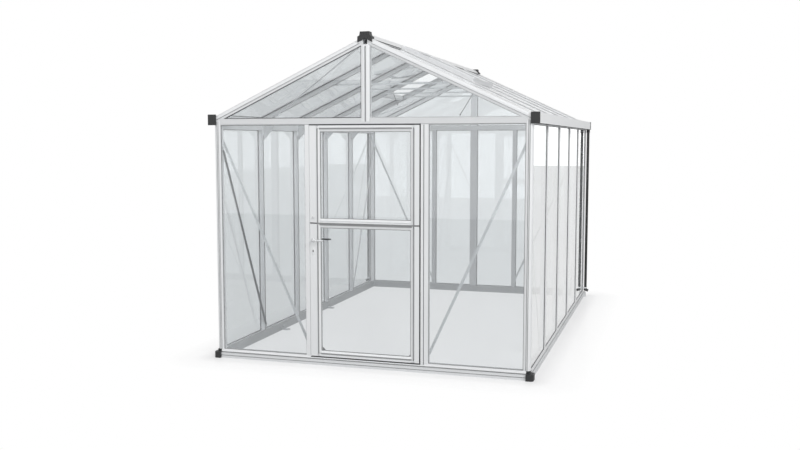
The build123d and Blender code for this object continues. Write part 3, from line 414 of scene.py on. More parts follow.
def dressNodes():
    for finish, names in finishOf.items():
        for name in names:
            slots = nodes[name].data.materials
            slots.clear()
            slots.append(materials[finish])
    left = set(nodes) - {name for names in finishOf.values() for name in names}
    print("nodes dressed, left over:", sorted(left))


dressNodes()

# Surface helpers
surfaceSet = {"sharp": 32.0, "archSteps": 7}


def tubes(points, wrapRows=False):  # tubes, rows, columns, xyz: each row is one closed section of its tube
    count, rowCount, columnCount = points.shape[:3]
    row = np.arange(rowCount if wrapRows else rowCount - 1)[:, None]
    column = np.arange(columnCount)[None, :]
    nextRow, nextColumn = (row + 1) % rowCount, (column + 1) % columnCount
    corners = np.broadcast_arrays(row * columnCount + column, row * columnCount + nextColumn,
                                  nextRow * columnCount + nextColumn, nextRow * columnCount + column)
    shift = np.arange(count)[:, None, None] * rowCount * columnCount
    faces = [(np.stack(corners, axis=-1).reshape(1, -1, 4) + shift).reshape(-1, 4)]
    if not wrapRows:
        ends = np.stack([np.arange(columnCount)[::-1], np.arange(columnCount) + (rowCount - 1) * columnCount])
        faces.append((ends[None] + shift).reshape(-1, columnCount))
    return points.reshape(-1, 3), faces


def makePiece(name, shells, finish, body="frame", replaced=()):
    # joins closed shells, each its points and arrays of faces, into one mesh that rides a body
    starts = np.cumsum([0] + [len(points) for points, _ in shells])
    faces = []
    for start, (_, arrays) in zip(starts, shells):
        faces += [face for array in arrays for face in (array + start).tolist()]
    mesh = bpy.data.meshes.new(name)
    mesh.from_pydata(np.concatenate([points for points, _ in shells]).tolist(), [], faces)
    form = bmesh.new()
    form.from_mesh(mesh)
    bmesh.ops.recalc_face_normals(form, faces=form.faces)
    form.to_mesh(mesh)
    form.free()
    mesh.shade_smooth()
    mesh.set_sharp_from_angle(angle=radians(surfaceSet["sharp"]))
    mesh.materials.append(materials[finish])
    piece = bpy.data.objects.new(name, mesh)
    scene.collection.objects.link(piece)
    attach(piece, body)
    if replaced:
        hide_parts(*replaced)


def domed(width, height):  # low arch over a flat foot, from -width/2 to width/2
    turn = np.linspace(0.0, pi, surfaceSet["archSteps"])
    return np.stack([-np.cos(turn) * width / 2, np.sin(turn) * height], axis=1)


def strips(starts, ends, across, outward, section):  # one section drawn straight from each start to its end
    path = np.stack([starts, ends], axis=1)[:, :, None, :]
    across, outward = [np.atleast_2d(axis)[:, None, None, :] for axis in (across, outward)]
    return tubes(path + section[:, :1] * across + section[:, 1:] * outward)


def middleOf(values):  # halfway between the least and the greatest
    return (values.min() + values.max()) / 2


def rows(x, y, z):  # one point a row from whole arrays or single numbers
    return np.stack(np.broadcast_arrays(x, y, z), axis=1).astype(float)


def turned(centres, axes, profile, steps):  # radius and height pairs turned about an axis at each centre
    angle = np.linspace(0.0, 2 * pi, steps, endpoint=False)
    axes = np.asarray(axes, float)
    helper = np.where(np.abs(axes[:, 2:]) > 0.9, [[1.0, 0.0, 0.0]], [[0.0, 0.0, 1.0]])
    first = np.cross(axes, helper)
    first /= np.linalg.norm(first, axis=1, keepdims=True)
    second = np.cross(axes, first)
    ring = (np.cos(angle)[None, :, None] * first[:, None] + np.sin(angle)[None, :, None] * second[:, None])
    if profile.ndim == 2:  # the same at every angle
        profile = np.repeat(profile[:, :, None], steps, axis=2)
    radius, height = profile[:, 0], profile[:, 1]
    return (np.asarray(centres, float)[:, None, None] + radius[None, :, :, None] * ring[:, None]
            + height[None, :, :, None] * axes[:, None, None])


def nodeSolids(name):  # corner points of each separate solid of a CAD node
    mesh = nodes[name].data
    points = np.empty(len(mesh.vertices) * 3)
    mesh.vertices.foreach_get("co", points)
    corners = np.empty(len(mesh.loops), int)
    mesh.loops.foreach_get("vertex_index", corners)
    unique, inverse = np.unique(points.reshape(-1, 3).round(5), axis=0, return_inverse=True)
    triangles = inverse.reshape(-1)[corners].reshape(-1, 3)
    label = np.arange(len(unique))
    while True:  # the lowest label spreads over each solid
        lowest = label[triangles].min(axis=1)
        spreadLabel = label.copy()
        np.minimum.at(spreadLabel, triangles.reshape(-1), np.repeat(lowest, 3))
        if np.array_equal(spreadLabel, label):
            return [unique[label == key] for key in np.unique(label)]
        label = spreadLabel


# Rubber seals round every pane, on both of its faces
sealSet = {"wide": 0.0048, "proud": 0.0026, "lift": 0.0001, "shortEdge": 0.05, "near": 0.1, "low": 0.2,
           "mostly": 0.5, "slanting": (0.1, 0.99)}
lapSet = {"bar": (0.010, 0.007), "corner": (0.019, 0.019), "slot": (0.009, 0.009), "base": (0.0117, 0.0117),
          "eave": (0.012, 0.039), "ridge": (0.0276, 0.002),
          "drip": (0.002, 0.0645)}  # from the pane's edge to the section's lip, outside and inside
sealSection = np.array([(0.04, 0.0), (0.04, 1.0), (0.45, 0.92), (1.0, 0.3), (1.0, 0.0)])


def lapKind(name, middle, along):  # which section laps over the pane along an edge
    x, y, z = np.abs(middle)
    near, mostly = sealSet["near"], sealSet["mostly"]
    if name.startswith(("lower_leaf", "upper_leaf", "vent")):
        return "slot"
    if "roof" in name:
        if abs(along[1]) < mostly:
            return "corner" if y > halfLength - near else "bar"
        return "drip" if x > halfWidth else "ridge" if x < near else "slot"
    if name == "gable_glass":
        least, most = sealSet["slanting"]
        return "corner" if least < abs(along[2]) < most else "slot"
    onSide = "right" in name or "left" in name
    if abs(along[2]) > mostly:
        atCorner = y > halfLength - near if onSide else x > halfWidth - near
        return "corner" if atCorner else "bar" if onSide else "slot"
    return "base" if z < sealSet["low"] else "eave" if onSide else "slot"


def paneRims(name, points):
    # the pane's outline, moved inward by each edge's lap and by the seal's width, carries the seal's section
    middle = points.mean(axis=0)
    normal = np.linalg.svd(points - middle)[2][2]
    normal *= np.sign(normal @ (middle - houseMiddle))
    height = (points - middle) @ normal
    rims = []
    for side in (0, 1):
        out = normal * (1 - 2 * side)
        face = points[height * (1 - 2 * side) > 0]
        flat = face - face.mean(axis=0)
        turn = np.arctan2(flat @ np.cross(out, flat[0]), flat @ flat[0] * np.linalg.norm(out))
        corners = face[np.argsort(turn)]
        along = np.roll(corners, -1, axis=0) - corners
        length = np.linalg.norm(along, axis=1)
        keep = length > sealSet["shortEdge"]
        corners, along = corners[keep], (along / length[:, None])[keep]
        edgeMiddle = corners + along * length[keep, None] / 2
        inward = np.cross(out, along)
        lap = np.array([lapSet[lapKind(name, m, a)][side] for m, a in zip(edgeMiddle, along)])
        lastCorner, lastInward, lastLap = [np.roll(item, 1, axis=0) for item in (corners, inward, lap)]
        back = ((lastCorner - corners) * lastInward).sum(1) / (along * lastInward).sum(1)
        meet = corners + along * back[:, None]
        lean = (inward * lastInward).sum(1)[:, None]
        here = lap[:, None] + sealSection[:, 0] * sealSet["wide"]
        last = lastLap[:, None] + sealSection[:, 0] * sealSet["wide"]
        share = 1 - lean ** 2
        rim = (meet[:, None] + ((last - lean * here) / share)[..., None] * lastInward[:, None]
               + ((here - lean * last) / share)[..., None] * inward[:, None]
               + (sealSection[:, 1] * sealSet["proud"] + sealSet["lift"])[None, :, None] * out)
        rims.append(tubes(rim[None], wrapRows=True))
    return rims


def sealFinish(name, points):  # finishes of a pane's outer and inner seal; the pale outer seals are painted light, the left gable pane's dark outer seal is painted shade
    if "roof" in name or "vent" in name:
        return "paleSeal", "rubber"
    if name == "gable_glass":
        return "rubber" if points[:, 0].mean() < 0 else "paleSeal", "greySeal"
    return "rubber" if "right" in name or "left" in name else "greySeal", "greySeal"


def fitSeals():
    pieces = {("frame", "rubber"): "darkSealsAndGableShade", ("frame", "greySeal"): "greySeals",
              ("frame", "paleSeal"): "paleSealsPaintedLit", ("lower_leaf", "greySeal"): "lowerLeafSeals",
              ("upper_leaf", "greySeal"): "upperLeafSeals"}
    shells = {key: [] for key in pieces}
    for name in finishOf["glass"] + finishOf["roofGlass"]:
        body = name[:10] if "_leaf_" in name else "frame"
        for points in nodeSolids(name):
            for rim, finish in zip(paneRims(name, points), sealFinish(name, points)):
                shells[body, finish].append(rim)
    for (body, finish), label in pieces.items():
        makePiece(label, shells[body, finish], finish, body)


fitSeals()
print("pane seals fitted")

# Painted shade in the grooves of posts, rafters, gable posts and base rails, drawn as grey strips
grooveShadeSet = {"from": 0.0325, "depth": 0.005, "width": 0.0046, "high": 0.0034, "postWidth": 0.0104,
            "slotHeight": 0.046, "slotDepth": 0.002, "slotWidth": 0.0076, "lineHeight": 0.021,
            "lineOut": 0.006, "lineWidth": 0.0054, "lineHigh": 0.0008, "endRoom": 0.032, "sideRoom": 0.052,
            "cornerFrom": 0.0228, "cornerWidth": 0.0056, "cornerHigh": 0.0003, "rafterRoom": 0.004,
            "postRoom": 0.01}


def layGrooveShade():  # a low arch of painted shade drawn along the middle of each groove
    s = grooveShadeSet
    sx, sy = signs.T
    thin = domed(s["width"], s["high"])
    inX, inY = halfWidth - s["from"], halfLength - s["from"]
    faceX, faceY = halfWidth - s["depth"], halfLength - s["depth"]
    toEnd, toSide = rows(0.0, sy, 0.0), rows(sx, 0.0, 0.0)
    shells = []
    for x, y, across, outward, section in (
            (inX, faceY, (1, 0, 0), toEnd, thin), (faceX, inY, (0, 1, 0), toSide, thin),
            (halfWidth - s["cornerFrom"], halfLength, (1, 0, 0), toEnd,
             domed(s["cornerWidth"], s["cornerHigh"]))):
        low, high = [rows(sx * x, sy * y, z) for z in (baseTop, roofHeight(x, houseSet["depth"]))]
        shells.append(strips(low, high, across, outward, section))
    top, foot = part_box("gable_rafters")[1].z, halfWidth - s["rafterRoom"]
    head = (ridgeLine - top) * slopeCos / slopeSin + s["rafterRoom"]
    square = rows(sx * slopeSin, 0.0, slopeCos)
    low, high = [rows(sx * x, sy * faceY, roofHeight(x, s["from"])) for x in (foot, head)]
    right, left = [strips(low[half], high[half], square[half], toEnd[half], thin)
                   for half in (slice(0, 2), slice(2, 4))]
    low, high = [rows(sx * x, sy * inY, roofHeight(x)) - s["depth"] * square for x in (foot, head)]
    shells.append(strips(low, high, (0, 1, 0), square, thin))
    postLow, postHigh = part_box("gable_posts")
    ends = np.array([1.0, -1.0])
    low, high = [rows(0.0, ends * faceY, z) for z in (postLow.z, postHigh.z - s["postRoom"])]
    posts = strips(low, high, (1, 0, 0), rows(0.0, ends, 0.0), domed(s["postWidth"], s["high"]))
    runX, runY = halfWidth - s["endRoom"], halfLength - s["sideRoom"]
    for z, out, width, height in ((s["slotHeight"], -s["slotDepth"], s["slotWidth"], s["high"]),
                                  (s["lineHeight"], s["lineOut"], s["lineWidth"], s["lineHigh"])):
        section = domed(width, height)
        west, east = [rows(x, ends * (halfLength + out), z) for x in (-runX, runX)]
        shells.append(strips(west, east, (0, 0, 1), rows(0.0, ends, 0.0), section))
        near, far = [rows(ends * (halfWidth + out), y, z) for y in (-runY, runY)]
        shells.append(strips(near, far, (0, 0, 1), rows(ends, 0.0, 0.0), section))
    # the right rafter's groove shade is paler, a lit copy
    makePiece("paintedGrooveShade", shells + [left, posts], "greySeal")
    makePiece("rafterInlays", [right], "paleSeal")


layGrooveShade()
print("groove inlays laid")

# Painted shade of the bolt channels along the inner faces of the glazing bars
channelShadeSet = {"width": 0.0095, "high": 0.0005, "headRoom": 0.14, "ridge": 0.12, "eave": 1.05}


def layChannelShade():  # a low dark arch of painted shade drawn up the inner face of each wall bar and roof bar
    s = channelShadeSet
    sides = ("right_wall_bars", "left_wall_bars")
    lines = np.array([middleOf(points[:, 1]) for name in sides for points in nodeSolids(name)])
    side = np.repeat([1.0, -1.0], len(lines) // 2)
    face = side * (halfWidth - houseSet["depth"])
    top = roofHeight(halfWidth) - s["headRoom"]
    section = domed(s["width"], s["high"])
    low, high = [rows(face, lines, z) for z in (baseTop, top)]
    walls = strips(low, high, (0, 1, 0), rows(-side, 0.0, 0.0), section)
    low, high = [rows(side * x, lines, roofHeight(x, houseSet["depth"])) for x in (s["eave"], s["ridge"])]
    roofs = strips(low, high, (0, 1, 0), rows(-side * slopeSin, 0.0, -slopeCos), section)
    makePiece("boltChannelShade", [walls, roofs], "rubber")


layChannelShade()
print("bolt channels laid")

# Inward legs of the left front and right rear wall braces, which are angles; their dark finish is painted
# shade
legSet = {"deep": 0.018, "thick": 0.0025, "edge": 0.010, "endRoom": 0.030}


def barAxes(points):  # middle of a flat bar, its run and its normal that looks into the house
    middle = points.mean(axis=0)
    run, _, normal = np.linalg.svd(points - middle)[2]
    return middle, run, normal * np.sign(normal @ (houseMiddle - middle))


def foldLegs():  # a thin rectangle drawn along the brace's lower edge, in the dark finish of painted shade
    half, deep = legSet["thick"] / 2, legSet["deep"]
    section = np.array([(-half, 0.0), (half, 0.0), (half, deep), (-half, deep)])
    shells = []
    for points in nodeSolids("wall_braces"):
        middle, run, normal = barAxes(points)
        if middle[0] * middle[1] < 0:
            continue
        across = np.cross(run, normal)
        across = across * np.sign(across[2])
        reach = run * (np.abs((points - middle) @ run).max() - legSet["endRoom"])
        foot = middle - across * (legSet["edge"] - half)
        shells.append(strips([foot - reach], [foot + reach], across, normal, section))
    makePiece("braceLegsPaintedShade", shells, "brace")


foldLegs()
print("brace legs folded")

# Hexagon bolts where braces, ties and plates are fastened
fastenSet = {"radius": 0.0062, "height": 0.0062, "small": 0.0044, "washer": 1.3, "top": 0.80,
             "levels": (0.0, 0.2, 0.2, 0.85, 1.0), "braceInset": 0.010, "tieInset": 0.0075, "tieShare": 0.8,
             "kneeSeat": 0.0038, "kneeHeights": (0.014, 0.058), "kneeReach": (1.082, 1.128),
             "anchorThick": 0.005, "anchorHeight": 0.027, "anchorSteps": (-0.016, 0.016),
             "leafSpots": ((0.18, 0.18), (0.66, 0.15), (0.15, 0.66)), "leafHalf": 0.4, "lean": 0.1}


def hexBolts(centres, axes, radius, height):  # round washer, hexagon head, its top edge cut round
    angle = np.arange(12) * pi / 6
    hexagon = cos(pi / 6) / np.cos((angle + pi / 6) % (pi / 3) - pi / 6)
    ring = np.ones(12)
    washer = ring * fastenSet["washer"]
    radii = np.stack([washer, washer, hexagon, hexagon, ring * fastenSet["top"]])
    heights = np.array(fastenSet["levels"])[:, None] * ring
    profile = np.stack([radii * radius, heights * height], axis=1)
    return tubes(turned(centres, axes, profile, len(angle)))


def barEnds(name, inset):  # bolt places at both ends of each flat bar, on the face that looks into the house
    centres, axes = [], []
    for points in nodeSolids(name):
        middle, run, normal = barAxes(points)
        reach = run * (np.abs((points - middle) @ run).max() - inset)
        face = middle + normal * ((points - middle) @ normal).max()
        centres += [face + reach, face - reach]
        axes += [normal, normal]
    return centres, axes


def kneeBolts():  # two bolts in the wall bar's head and two in the roof bar's head
    centres, axes = [], []
    seat = fastenSet["kneeSeat"]
    wallX = halfWidth - houseSet["depth"] + seat
    for points in nodeSolids("knee_plates"):
        low, high = points.min(axis=0), points.max(axis=0)
        side = np.sign(low[0])
        inner = low[1] if low[1] > 0 else high[1]
        spots = [(wallX, low[2] + height) for height in fastenSet["kneeHeights"]]
        spots += [(x, roofHeight(x, houseSet["depth"] - seat)) for x in fastenSet["kneeReach"]]
        centres += [(side * x, inner, z) for x, z in spots]
        axes += [(0.0, -np.sign(inner), 0.0)] * len(spots)
    return centres, axes


def anchorBolts():  # two bolts through each anchor's upstand into the base rail
    centres, axes = [], []
    for points in nodeSolids("anchor_brackets"):
        side = np.sign(points[0, 0])
        face = np.abs(points[:, 0]).max() - fastenSet["anchorThick"]
        centres += [(side * face, middleOf(points[:, 1]) + step, fastenSet["anchorHeight"])
                    for step in fastenSet["anchorSteps"]]
        axes += [(-side, 0.0, 0.0)] * 2
    return centres, axes


def leafScrews():  # three screws in each corner plate of the lower leaf
    centres = []
    for points in nodeSolids("lower_leaf_plates"):
        face = points[:, 1].max()
        fromEdge = np.abs(np.abs(points[:, 0]) - fastenSet["leafHalf"])
        corner = points[np.argmin(points[:, 2] + fastenSet["lean"] * fromEdge)]
        reach = points[:, 0].min() + points[:, 0].max() - 2 * corner[0]
        centres += [(corner[0] + reach * a, face, corner[2] + abs(reach) * b)
                    for a, b in fastenSet["leafSpots"]]
    return centres, [(0.0, 1.0, 0.0)] * len(centres)


def driveBolts():
    s = fastenSet
    radius, height, small = s["radius"], s["height"], s["small"]
    shells = [hexBolts(*barEnds(name, s["braceInset"]), radius, height)
              for name in ("gable_braces", "wall_braces", "roof_braces")]
    shells.append(hexBolts(*barEnds("collar_ties", s["tieInset"]), s["tieShare"] * radius, height))
    shells.append(hexBolts(*kneeBolts(), small, small))
    shells.append(hexBolts(*anchorBolts(), radius, height))
    makePiece("frameBolts", shells, "bolt")
    makePiece("leafScrews", [hexBolts(*leafScrews(), small, small)], "bolt", "lower_leaf")


driveBolts()
print("bolts driven")

# Pegs at the lower ends of the vent stays
pegSet = {"radius": 0.0062, "half": 0.0065, "end": 0.012, "steps": 10,
          "profile": ((0.6, -1.0), (1.0, -0.4), (1.0, 0.4), (0.6, 1.0))}


def hangPegs():  # barrel with narrowed ends, turned about the upright at each stay's lowest corners
    s = pegSet
    solids = nodeSolids("vent_stays")
    ends = [points[points[:, 2] < points[:, 2].min() + s["end"]].mean(axis=0) for points in solids]
    profile = np.array(s["profile"]) * (s["radius"], s["half"])
    pegs = tubes(turned(ends, [(0.0, 0.0, 1.0)] * len(ends), profile, s["steps"]))
    makePiece("stayPegs", [pegs], "cap")


hangPegs()
print("stay pegs hung")

# Lever handle: one bent grip outside, a dark one inside
leverSet = {"standoff": 0.047, "bend": 0.015, "reach": 0.097, "innerReach": 0.110, "bow": 0.003,
            "neckHalf": 0.0074, "gripHigh": 0.0072, "innerHigh": 0.0062, "gripThick": 0.0046,
            "squareness": 0.72, "endRound": 0.006, "spindle": 0.008, "sink": 0.001, "leastTip": 0.01,
            "neckSteps": 4, "bendSteps": 10, "gripSteps": 16, "tipSteps": 7, "sides": 20}
handleLow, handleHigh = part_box("door_handle")
leafLow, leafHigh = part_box("lower_leaf_frame")
handleX, handleZ = handleLow.x + leverSet["spindle"], (handleLow.z + handleHigh.z) / 2


def leverShell(face, out, reach, gripHigh):
    # path: straight neck, quarter bend, slightly bowed grip; section: rounded rectangle that thins along it
    s = leverSet
    turn = np.linspace(0.0, pi / 2, s["bendSteps"])[1:]
    run = np.linspace(0.0, 1.0, s["gripSteps"])[1:]
    tip = np.sin(np.linspace(0.0, pi / 2, s["tipSteps"])[1:])
    gripEnd = reach - s["endRound"]
    along = np.concatenate([np.zeros(s["neckSteps"]), s["bend"] * (1 - np.cos(turn)),
                            s["bend"] + (gripEnd - s["bend"]) * run, gripEnd + s["endRound"] * tip])
    away = np.concatenate([np.linspace(-s["sink"], s["standoff"] - s["bend"], s["neckSteps"]),
                           s["standoff"] - s["bend"] * (1 - np.sin(turn)),
                           s["standoff"] - s["bow"] * np.sin(pi * run), np.full(len(tip), s["standoff"])])
    rounded = np.sqrt(np.maximum(1 - tip ** 2, s["leastTip"]))
    shrink = np.concatenate([np.ones(len(along) - len(tip)), rounded])
    length = np.concatenate([[0.0], np.cumsum(np.hypot(np.diff(along), np.diff(away)))])
    ease = np.clip(length / (s["standoff"] + s["bend"]), 0.0, 1.0)
    ease = ease * ease * (3 - 2 * ease)
    high = (s["neckHalf"] + (gripHigh - s["neckHalf"]) * ease) * shrink
    thick = (s["neckHalf"] + (s["gripThick"] - s["neckHalf"]) * ease) * shrink
    slopeA, slopeB = np.gradient(along, length), np.gradient(away, length)
    angle = np.linspace(0.0, 2 * pi, s["sides"], endpoint=False)
    wide = np.sign(np.cos(angle)) * np.abs(np.cos(angle)) ** s["squareness"]
    tall = np.sign(np.sin(angle)) * np.abs(np.sin(angle)) ** s["squareness"]
    x = handleX + along[:, None] - slopeB[:, None] * thick[:, None] * wide
    y = face + out * (away[:, None] + slopeA[:, None] * thick[:, None] * wide)
    z = handleZ + high[:, None] * tall
    return tubes(np.stack([x, y, z], axis=-1)[None])


def fitLevers():
    outer = leverShell(leafLow.y, -1.0, leverSet["reach"], leverSet["gripHigh"])
    inner = leverShell(leafHigh.y, 1.0, leverSet["innerReach"], leverSet["innerHigh"])
    makePiece("outerLever", [outer], "fitting", "handle", ("door_handle",))
    makePiece("innerLever", [inner], "grip", "handle")


fitLevers()

# Rosettes, lock plates and the upper leaf's knob
roseSet = {"radius": 0.0175, "high": 0.0070, "steps": 48,
           "profile": ((1.0, 0.0), (1.0, 0.36), (0.91, 0.64), (0.69, 0.74), (0.60, 0.94), (0.50, 1.0),
                       (0.50, 0.0))}
lockSet = {"halfWidth": 0.0120, "halfHeight": 0.0290, "high": 0.0040, "barrel": 0.0090, "barrelHigh": 0.0072,
           "keyWidth": 0.0088, "keyHeight": 0.0176, "keyFrom": 0.0005, "keyOut": 0.0003, "steps": 40,
           "plateProfile": ((1.0, 0.0), (1.0, 0.55), (0.93, 0.9), (0.80, 1.0)),
           "barrelProfile": ((1.0, 0.45), (1.0, 0.92), (0.90, 1.0)), "barrelSteps": 32}
knobSet = {"neck": 0.0052, "head": 0.0084, "high": 0.0140, "steps": 40,
           "neckProfile": ((1.15, 0.0), (1.0, 0.1), (1.0, 0.45)),
           "headProfile": ((0.85, 0.5), (1.0, 0.6), (1.0, 0.86), (0.88, 0.97), (0.5, 1.0))}


def roses():  # stepped ring: rim, shoulder, dish and collar, turned about the spindle
    profile = np.array(roseSet["profile"]) * (roseSet["radius"], roseSet["high"])
    rings = turned([(handleX, leafLow.y, handleZ), (handleX, leafHigh.y, handleZ)],
                   [(0.0, -1.0, 0.0), (0.0, 1.0, 0.0)], profile, roseSet["steps"])
    return tubes(rings.transpose(0, 2, 1, 3), wrapRows=True)


def slotOutline(halfWide, halfHigh, steps):  # straight sides between two half rounds
    angle = np.linspace(0.0, 2 * pi, steps, endpoint=False)
    return np.cos(angle) * halfWide, np.sin(angle) * halfWide + np.sign(np.sin(angle)) * (halfHigh - halfWide)


def raisedSlots(x, z, faces, halfWide, halfHigh, levels):  # levels: outline scale and height off the face
    wide, high = slotOutline(halfWide, halfHigh, lockSet["steps"])
    scale, lift = levels[:, :1], levels[:, 1:]
    points = [np.stack(np.broadcast_arrays(x + wide * scale, face + out * lift, z + high * scale), axis=-1)
              for face, out in faces]
    return tubes(np.stack(points))


def fitFurniture():
    s = lockSet
    faces = [(leafLow.y, -1.0), (leafHigh.y, 1.0)]
    makePiece("handleRosettes", [roses()], "fitting", "lower_leaf", ("door_rosettes",))
    lockLow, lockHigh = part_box("door_lock")
    lockZ = (lockLow.z + lockHigh.z) / 2
    levels = np.array(s["plateProfile"]) * (1.0, s["high"])
    plates = raisedSlots(handleX, lockZ, faces, s["halfWidth"], s["halfHeight"], levels)
    centres = [(handleX, face, lockZ) for face, _ in faces]
    axes = [(0.0, out, 0.0) for _, out in faces]
    profile = np.array(s["barrelProfile"]) * (s["barrel"], s["barrelHigh"])
    barrels = tubes(turned(centres, axes, profile, s["barrelSteps"]))
    makePiece("lockPlates", [plates, barrels], "upright", "lower_leaf", ("door_lock",))
    # the keyhole is a dark slot of painted shade on the barrel
    levels = np.array([(1.0, s["barrelHigh"] - s["keyFrom"]), (1.0, s["barrelHigh"] + s["keyOut"])])
    keys = raisedSlots(handleX, lockZ, faces, s["keyWidth"] / 2, s["keyHeight"] / 2, levels)
    makePiece("keyholeShade", [keys], "hinge", "lower_leaf")
    profile = np.concatenate([np.array(knobSet[part + "Profile"]) * (knobSet[part], knobSet["high"])
                              for part in ("neck", "head")])
    knobLow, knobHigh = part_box("upper_leaf_knob")
    knobZ = (knobLow.z + knobHigh.z) / 2
    knob = tubes(turned([(handleX, leafLow.y, knobZ)], [(0.0, -1.0, 0.0)], profile, knobSet["steps"]))
    makePiece("leafKnob", [knob], "fitting", "upper_leaf", ("upper_leaf_knob",))


fitFurniture()
print("door furniture fitted")

# Seals, edge strips and painted shade of the two leaves
edgeSet = {"fill": 0.0045, "setback": 0.0012, "deep": 0.024, "splitFill": 0.0045, "sweepFill": 0.0042,
           "headGap": 0.0013, "headLap": 0.004, "facing": 0.0003, "lip": 0.0030, "sweepLip": 0.0046,
           "proud": 0.0004, "stripGroove": 0.005, "under": 0.002, "headLock": 0.004, "headHinge": 0.006,
           "headFace": 0.0005, "room": 0.0002, "stripDeep": 0.012, "lipOver": 0.0005, "endRoom": 0.001,
           "cutShare": 0.25}
grooveSet = {"half": 0.0058, "top": 0.0025, "floor": 0.0090, "lock": 0.059, "hinge": 0.046, "head": 0.023,
             "foot": 0.025, "split": 0.009}  # middle of each groove, from the leaf's edge


def boxStrip(low, high):  # straight strip with its long edges broken
    low, high = np.array(low), np.array(high)
    middle, half = (low + high) / 2, (high - low) / 2
    run = int(np.argmax(half))
    a, b = [axis for axis in range(3) if axis != run]
    cut = edgeSet["cutShare"] * min(half[a], half[b])
    section = np.array([(half[a] - cut, -half[b]), (half[a], cut - half[b]), (half[a], half[b] - cut),
                        (half[a] - cut, half[b]), (cut - half[a], half[b]), (-half[a], half[b] - cut),
                        (-half[a], cut - half[b]), (cut - half[a], -half[b])])
    points = np.zeros((1, 2, 8, 3)) + middle
    points[..., a] += section[:, 0]
    points[..., b] += section[:, 1]
    points[..., run] += np.array([-half[run], half[run]])[:, None]
    return tubes(points)


def bothSides(low, high):  # a strip on the right and its mirror image on the left
    return [boxStrip(low, high), boxStrip((-high[0], *low[1:]), (-low[0], *high[1:]))]


def fitLeafEdges():  # straight strips between the leaves, the doorway and the threshold: seals, with dark painted shade of the gaps
    e = edgeSet
    upperLow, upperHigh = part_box("upper_leaf_frame")
    face, back = leafLow.y, leafLow.y + e["setback"] + e["deep"]
    front, proud, under = face + e["setback"], face - e["proud"], face + e["under"]
    beamFoot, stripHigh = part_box("gable_beams")[0].z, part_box("hinge_strip")[1]
    # the head seal and the strip in the hinge strip's groove also paint the shade of the gap and of the
    # groove
    head = boxStrip((upperLow.x - e["headLock"], face + e["headFace"], upperHigh.z + e["headGap"]),
                    (upperHigh.x + e["headHinge"], back, beamFoot + e["headLap"]))
    groove = boxStrip((stripHigh.x - e["stripGroove"] + e["room"], under, leafLow.z),
                      (stripHigh.x - e["room"], face + e["stripDeep"], upperHigh.z))
    makePiece("doorwaySealsAndShade", [head, groove], "rubber")
    foot = leafLow.z - e["sweepFill"]
    sweep = [boxStrip((leafLow.x, front, foot), (leafHigh.x, back, leafLow.z)),
             boxStrip((leafLow.x, proud, foot), (leafHigh.x, under, leafLow.z + e["sweepLip"]))]
    lock = leafLow.x + grooveSet["lock"] - grooveSet["half"]
    hinge = leafHigh.x - grooveSet["hinge"] + grooveSet["half"]
    spans = [(leafLow.x, lock), (lock, hinge), (hinge, leafHigh.x)]  # lock stile, rail, hinge stile
    # the fill seals the split; the lips on the lower leaf's top edge paint the split's shadow, grey over the
    # rail
    fill = [boxStrip((a, front, upperLow.z - e["splitFill"]), (b, back, upperLow.z)) for a, b in spans]
    lips = [boxStrip((a, proud, leafHigh.z - e["lip"]), (b, under, leafHigh.z + e["lipOver"]))
            for a, b in spans]
    for label, low, high, dark, grey in (("lower", leafLow, leafHigh, sweep + [lips[0], lips[2]], lips[1]),
                                         ("upper", upperLow, upperHigh, [fill[0], fill[2]], fill[1])):
        body = label + "_leaf"
        strip = boxStrip((low.x - e["fill"], front, low.z + e["endRoom"]),
                         (low.x, back, high.z - e["endRoom"]))
        makePiece(label + "EdgeStrip", [strip], "upright", body)
        # a thin dark facing and edge strip on the hinge side paint the shade of the hinge gap
        facing = boxStrip((high.x, face + e["room"], low.z), (high.x + e["facing"], back, high.z))
        edge = boxStrip((high.x - e["lip"], proud, low.z), (high.x + e["facing"], under, high.z))
        makePiece(label + "DarkSealsAndShade", dark + [facing, edge], "rubber", body)
        makePiece(label + "SplitSealAndShade", [grey], "greySeal", body)


def grooveShadeStrips(low, high, foot, head):  # one strip of painted shade for each groove, foot and head being heights or None
    g = grooveSet
    lock, hinge = low.x + g["lock"], high.x - g["hinge"]
    base, top = foot or low.z, head or high.z
    near, far = low.y + g["top"], low.y + g["floor"]
    uprights = [boxStrip((x - g["half"], near, base), (x + g["half"], far, top)) for x in (lock, hinge)]
    return uprights + [boxStrip((lock, near, z - g["half"]), (hinge, far, z + g["half"]))
                       for z in (foot, head) if z]


def shadeLeafGrooves():  # grey strips of painted shade along the leaves' grooves
    upperLow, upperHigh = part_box("upper_leaf_frame")
    lower = grooveShadeStrips(leafLow, leafHigh, leafLow.z + grooveSet["foot"], leafHigh.z - grooveSet["split"])
    makePiece("lowerLeafGrooveShade", lower, "greySeal", "lower_leaf")
    upper = grooveShadeStrips(upperLow, upperHigh, None, upperHigh.z - grooveSet["head"])
    makePiece("upperLeafGrooveShade", upper, "greySeal", "upper_leaf")


fitLeafEdges()
shadeLeafGrooves()
print("leaf edges fitted")

# Sockets where the downpipes leave the gutter, rounded elbows at their feet
collarSet = {"high": 0.034, "pipe": 0.0141, "radius": 0.0172, "lip": 0.0185, "elbow": 0.0176,
             "elbowHeight": 0.078, "level": 0.001, "pole": 0.06, "ballRows": 17, "ballSteps": 32, "steps": 40,
             "profile": (("pipe", 0.0), ("radius", 0.0), ("radius", 0.72), ("lip", 0.78), ("lip", 0.96),
                         ("radius", 1.0), ("pipe", 1.0))}


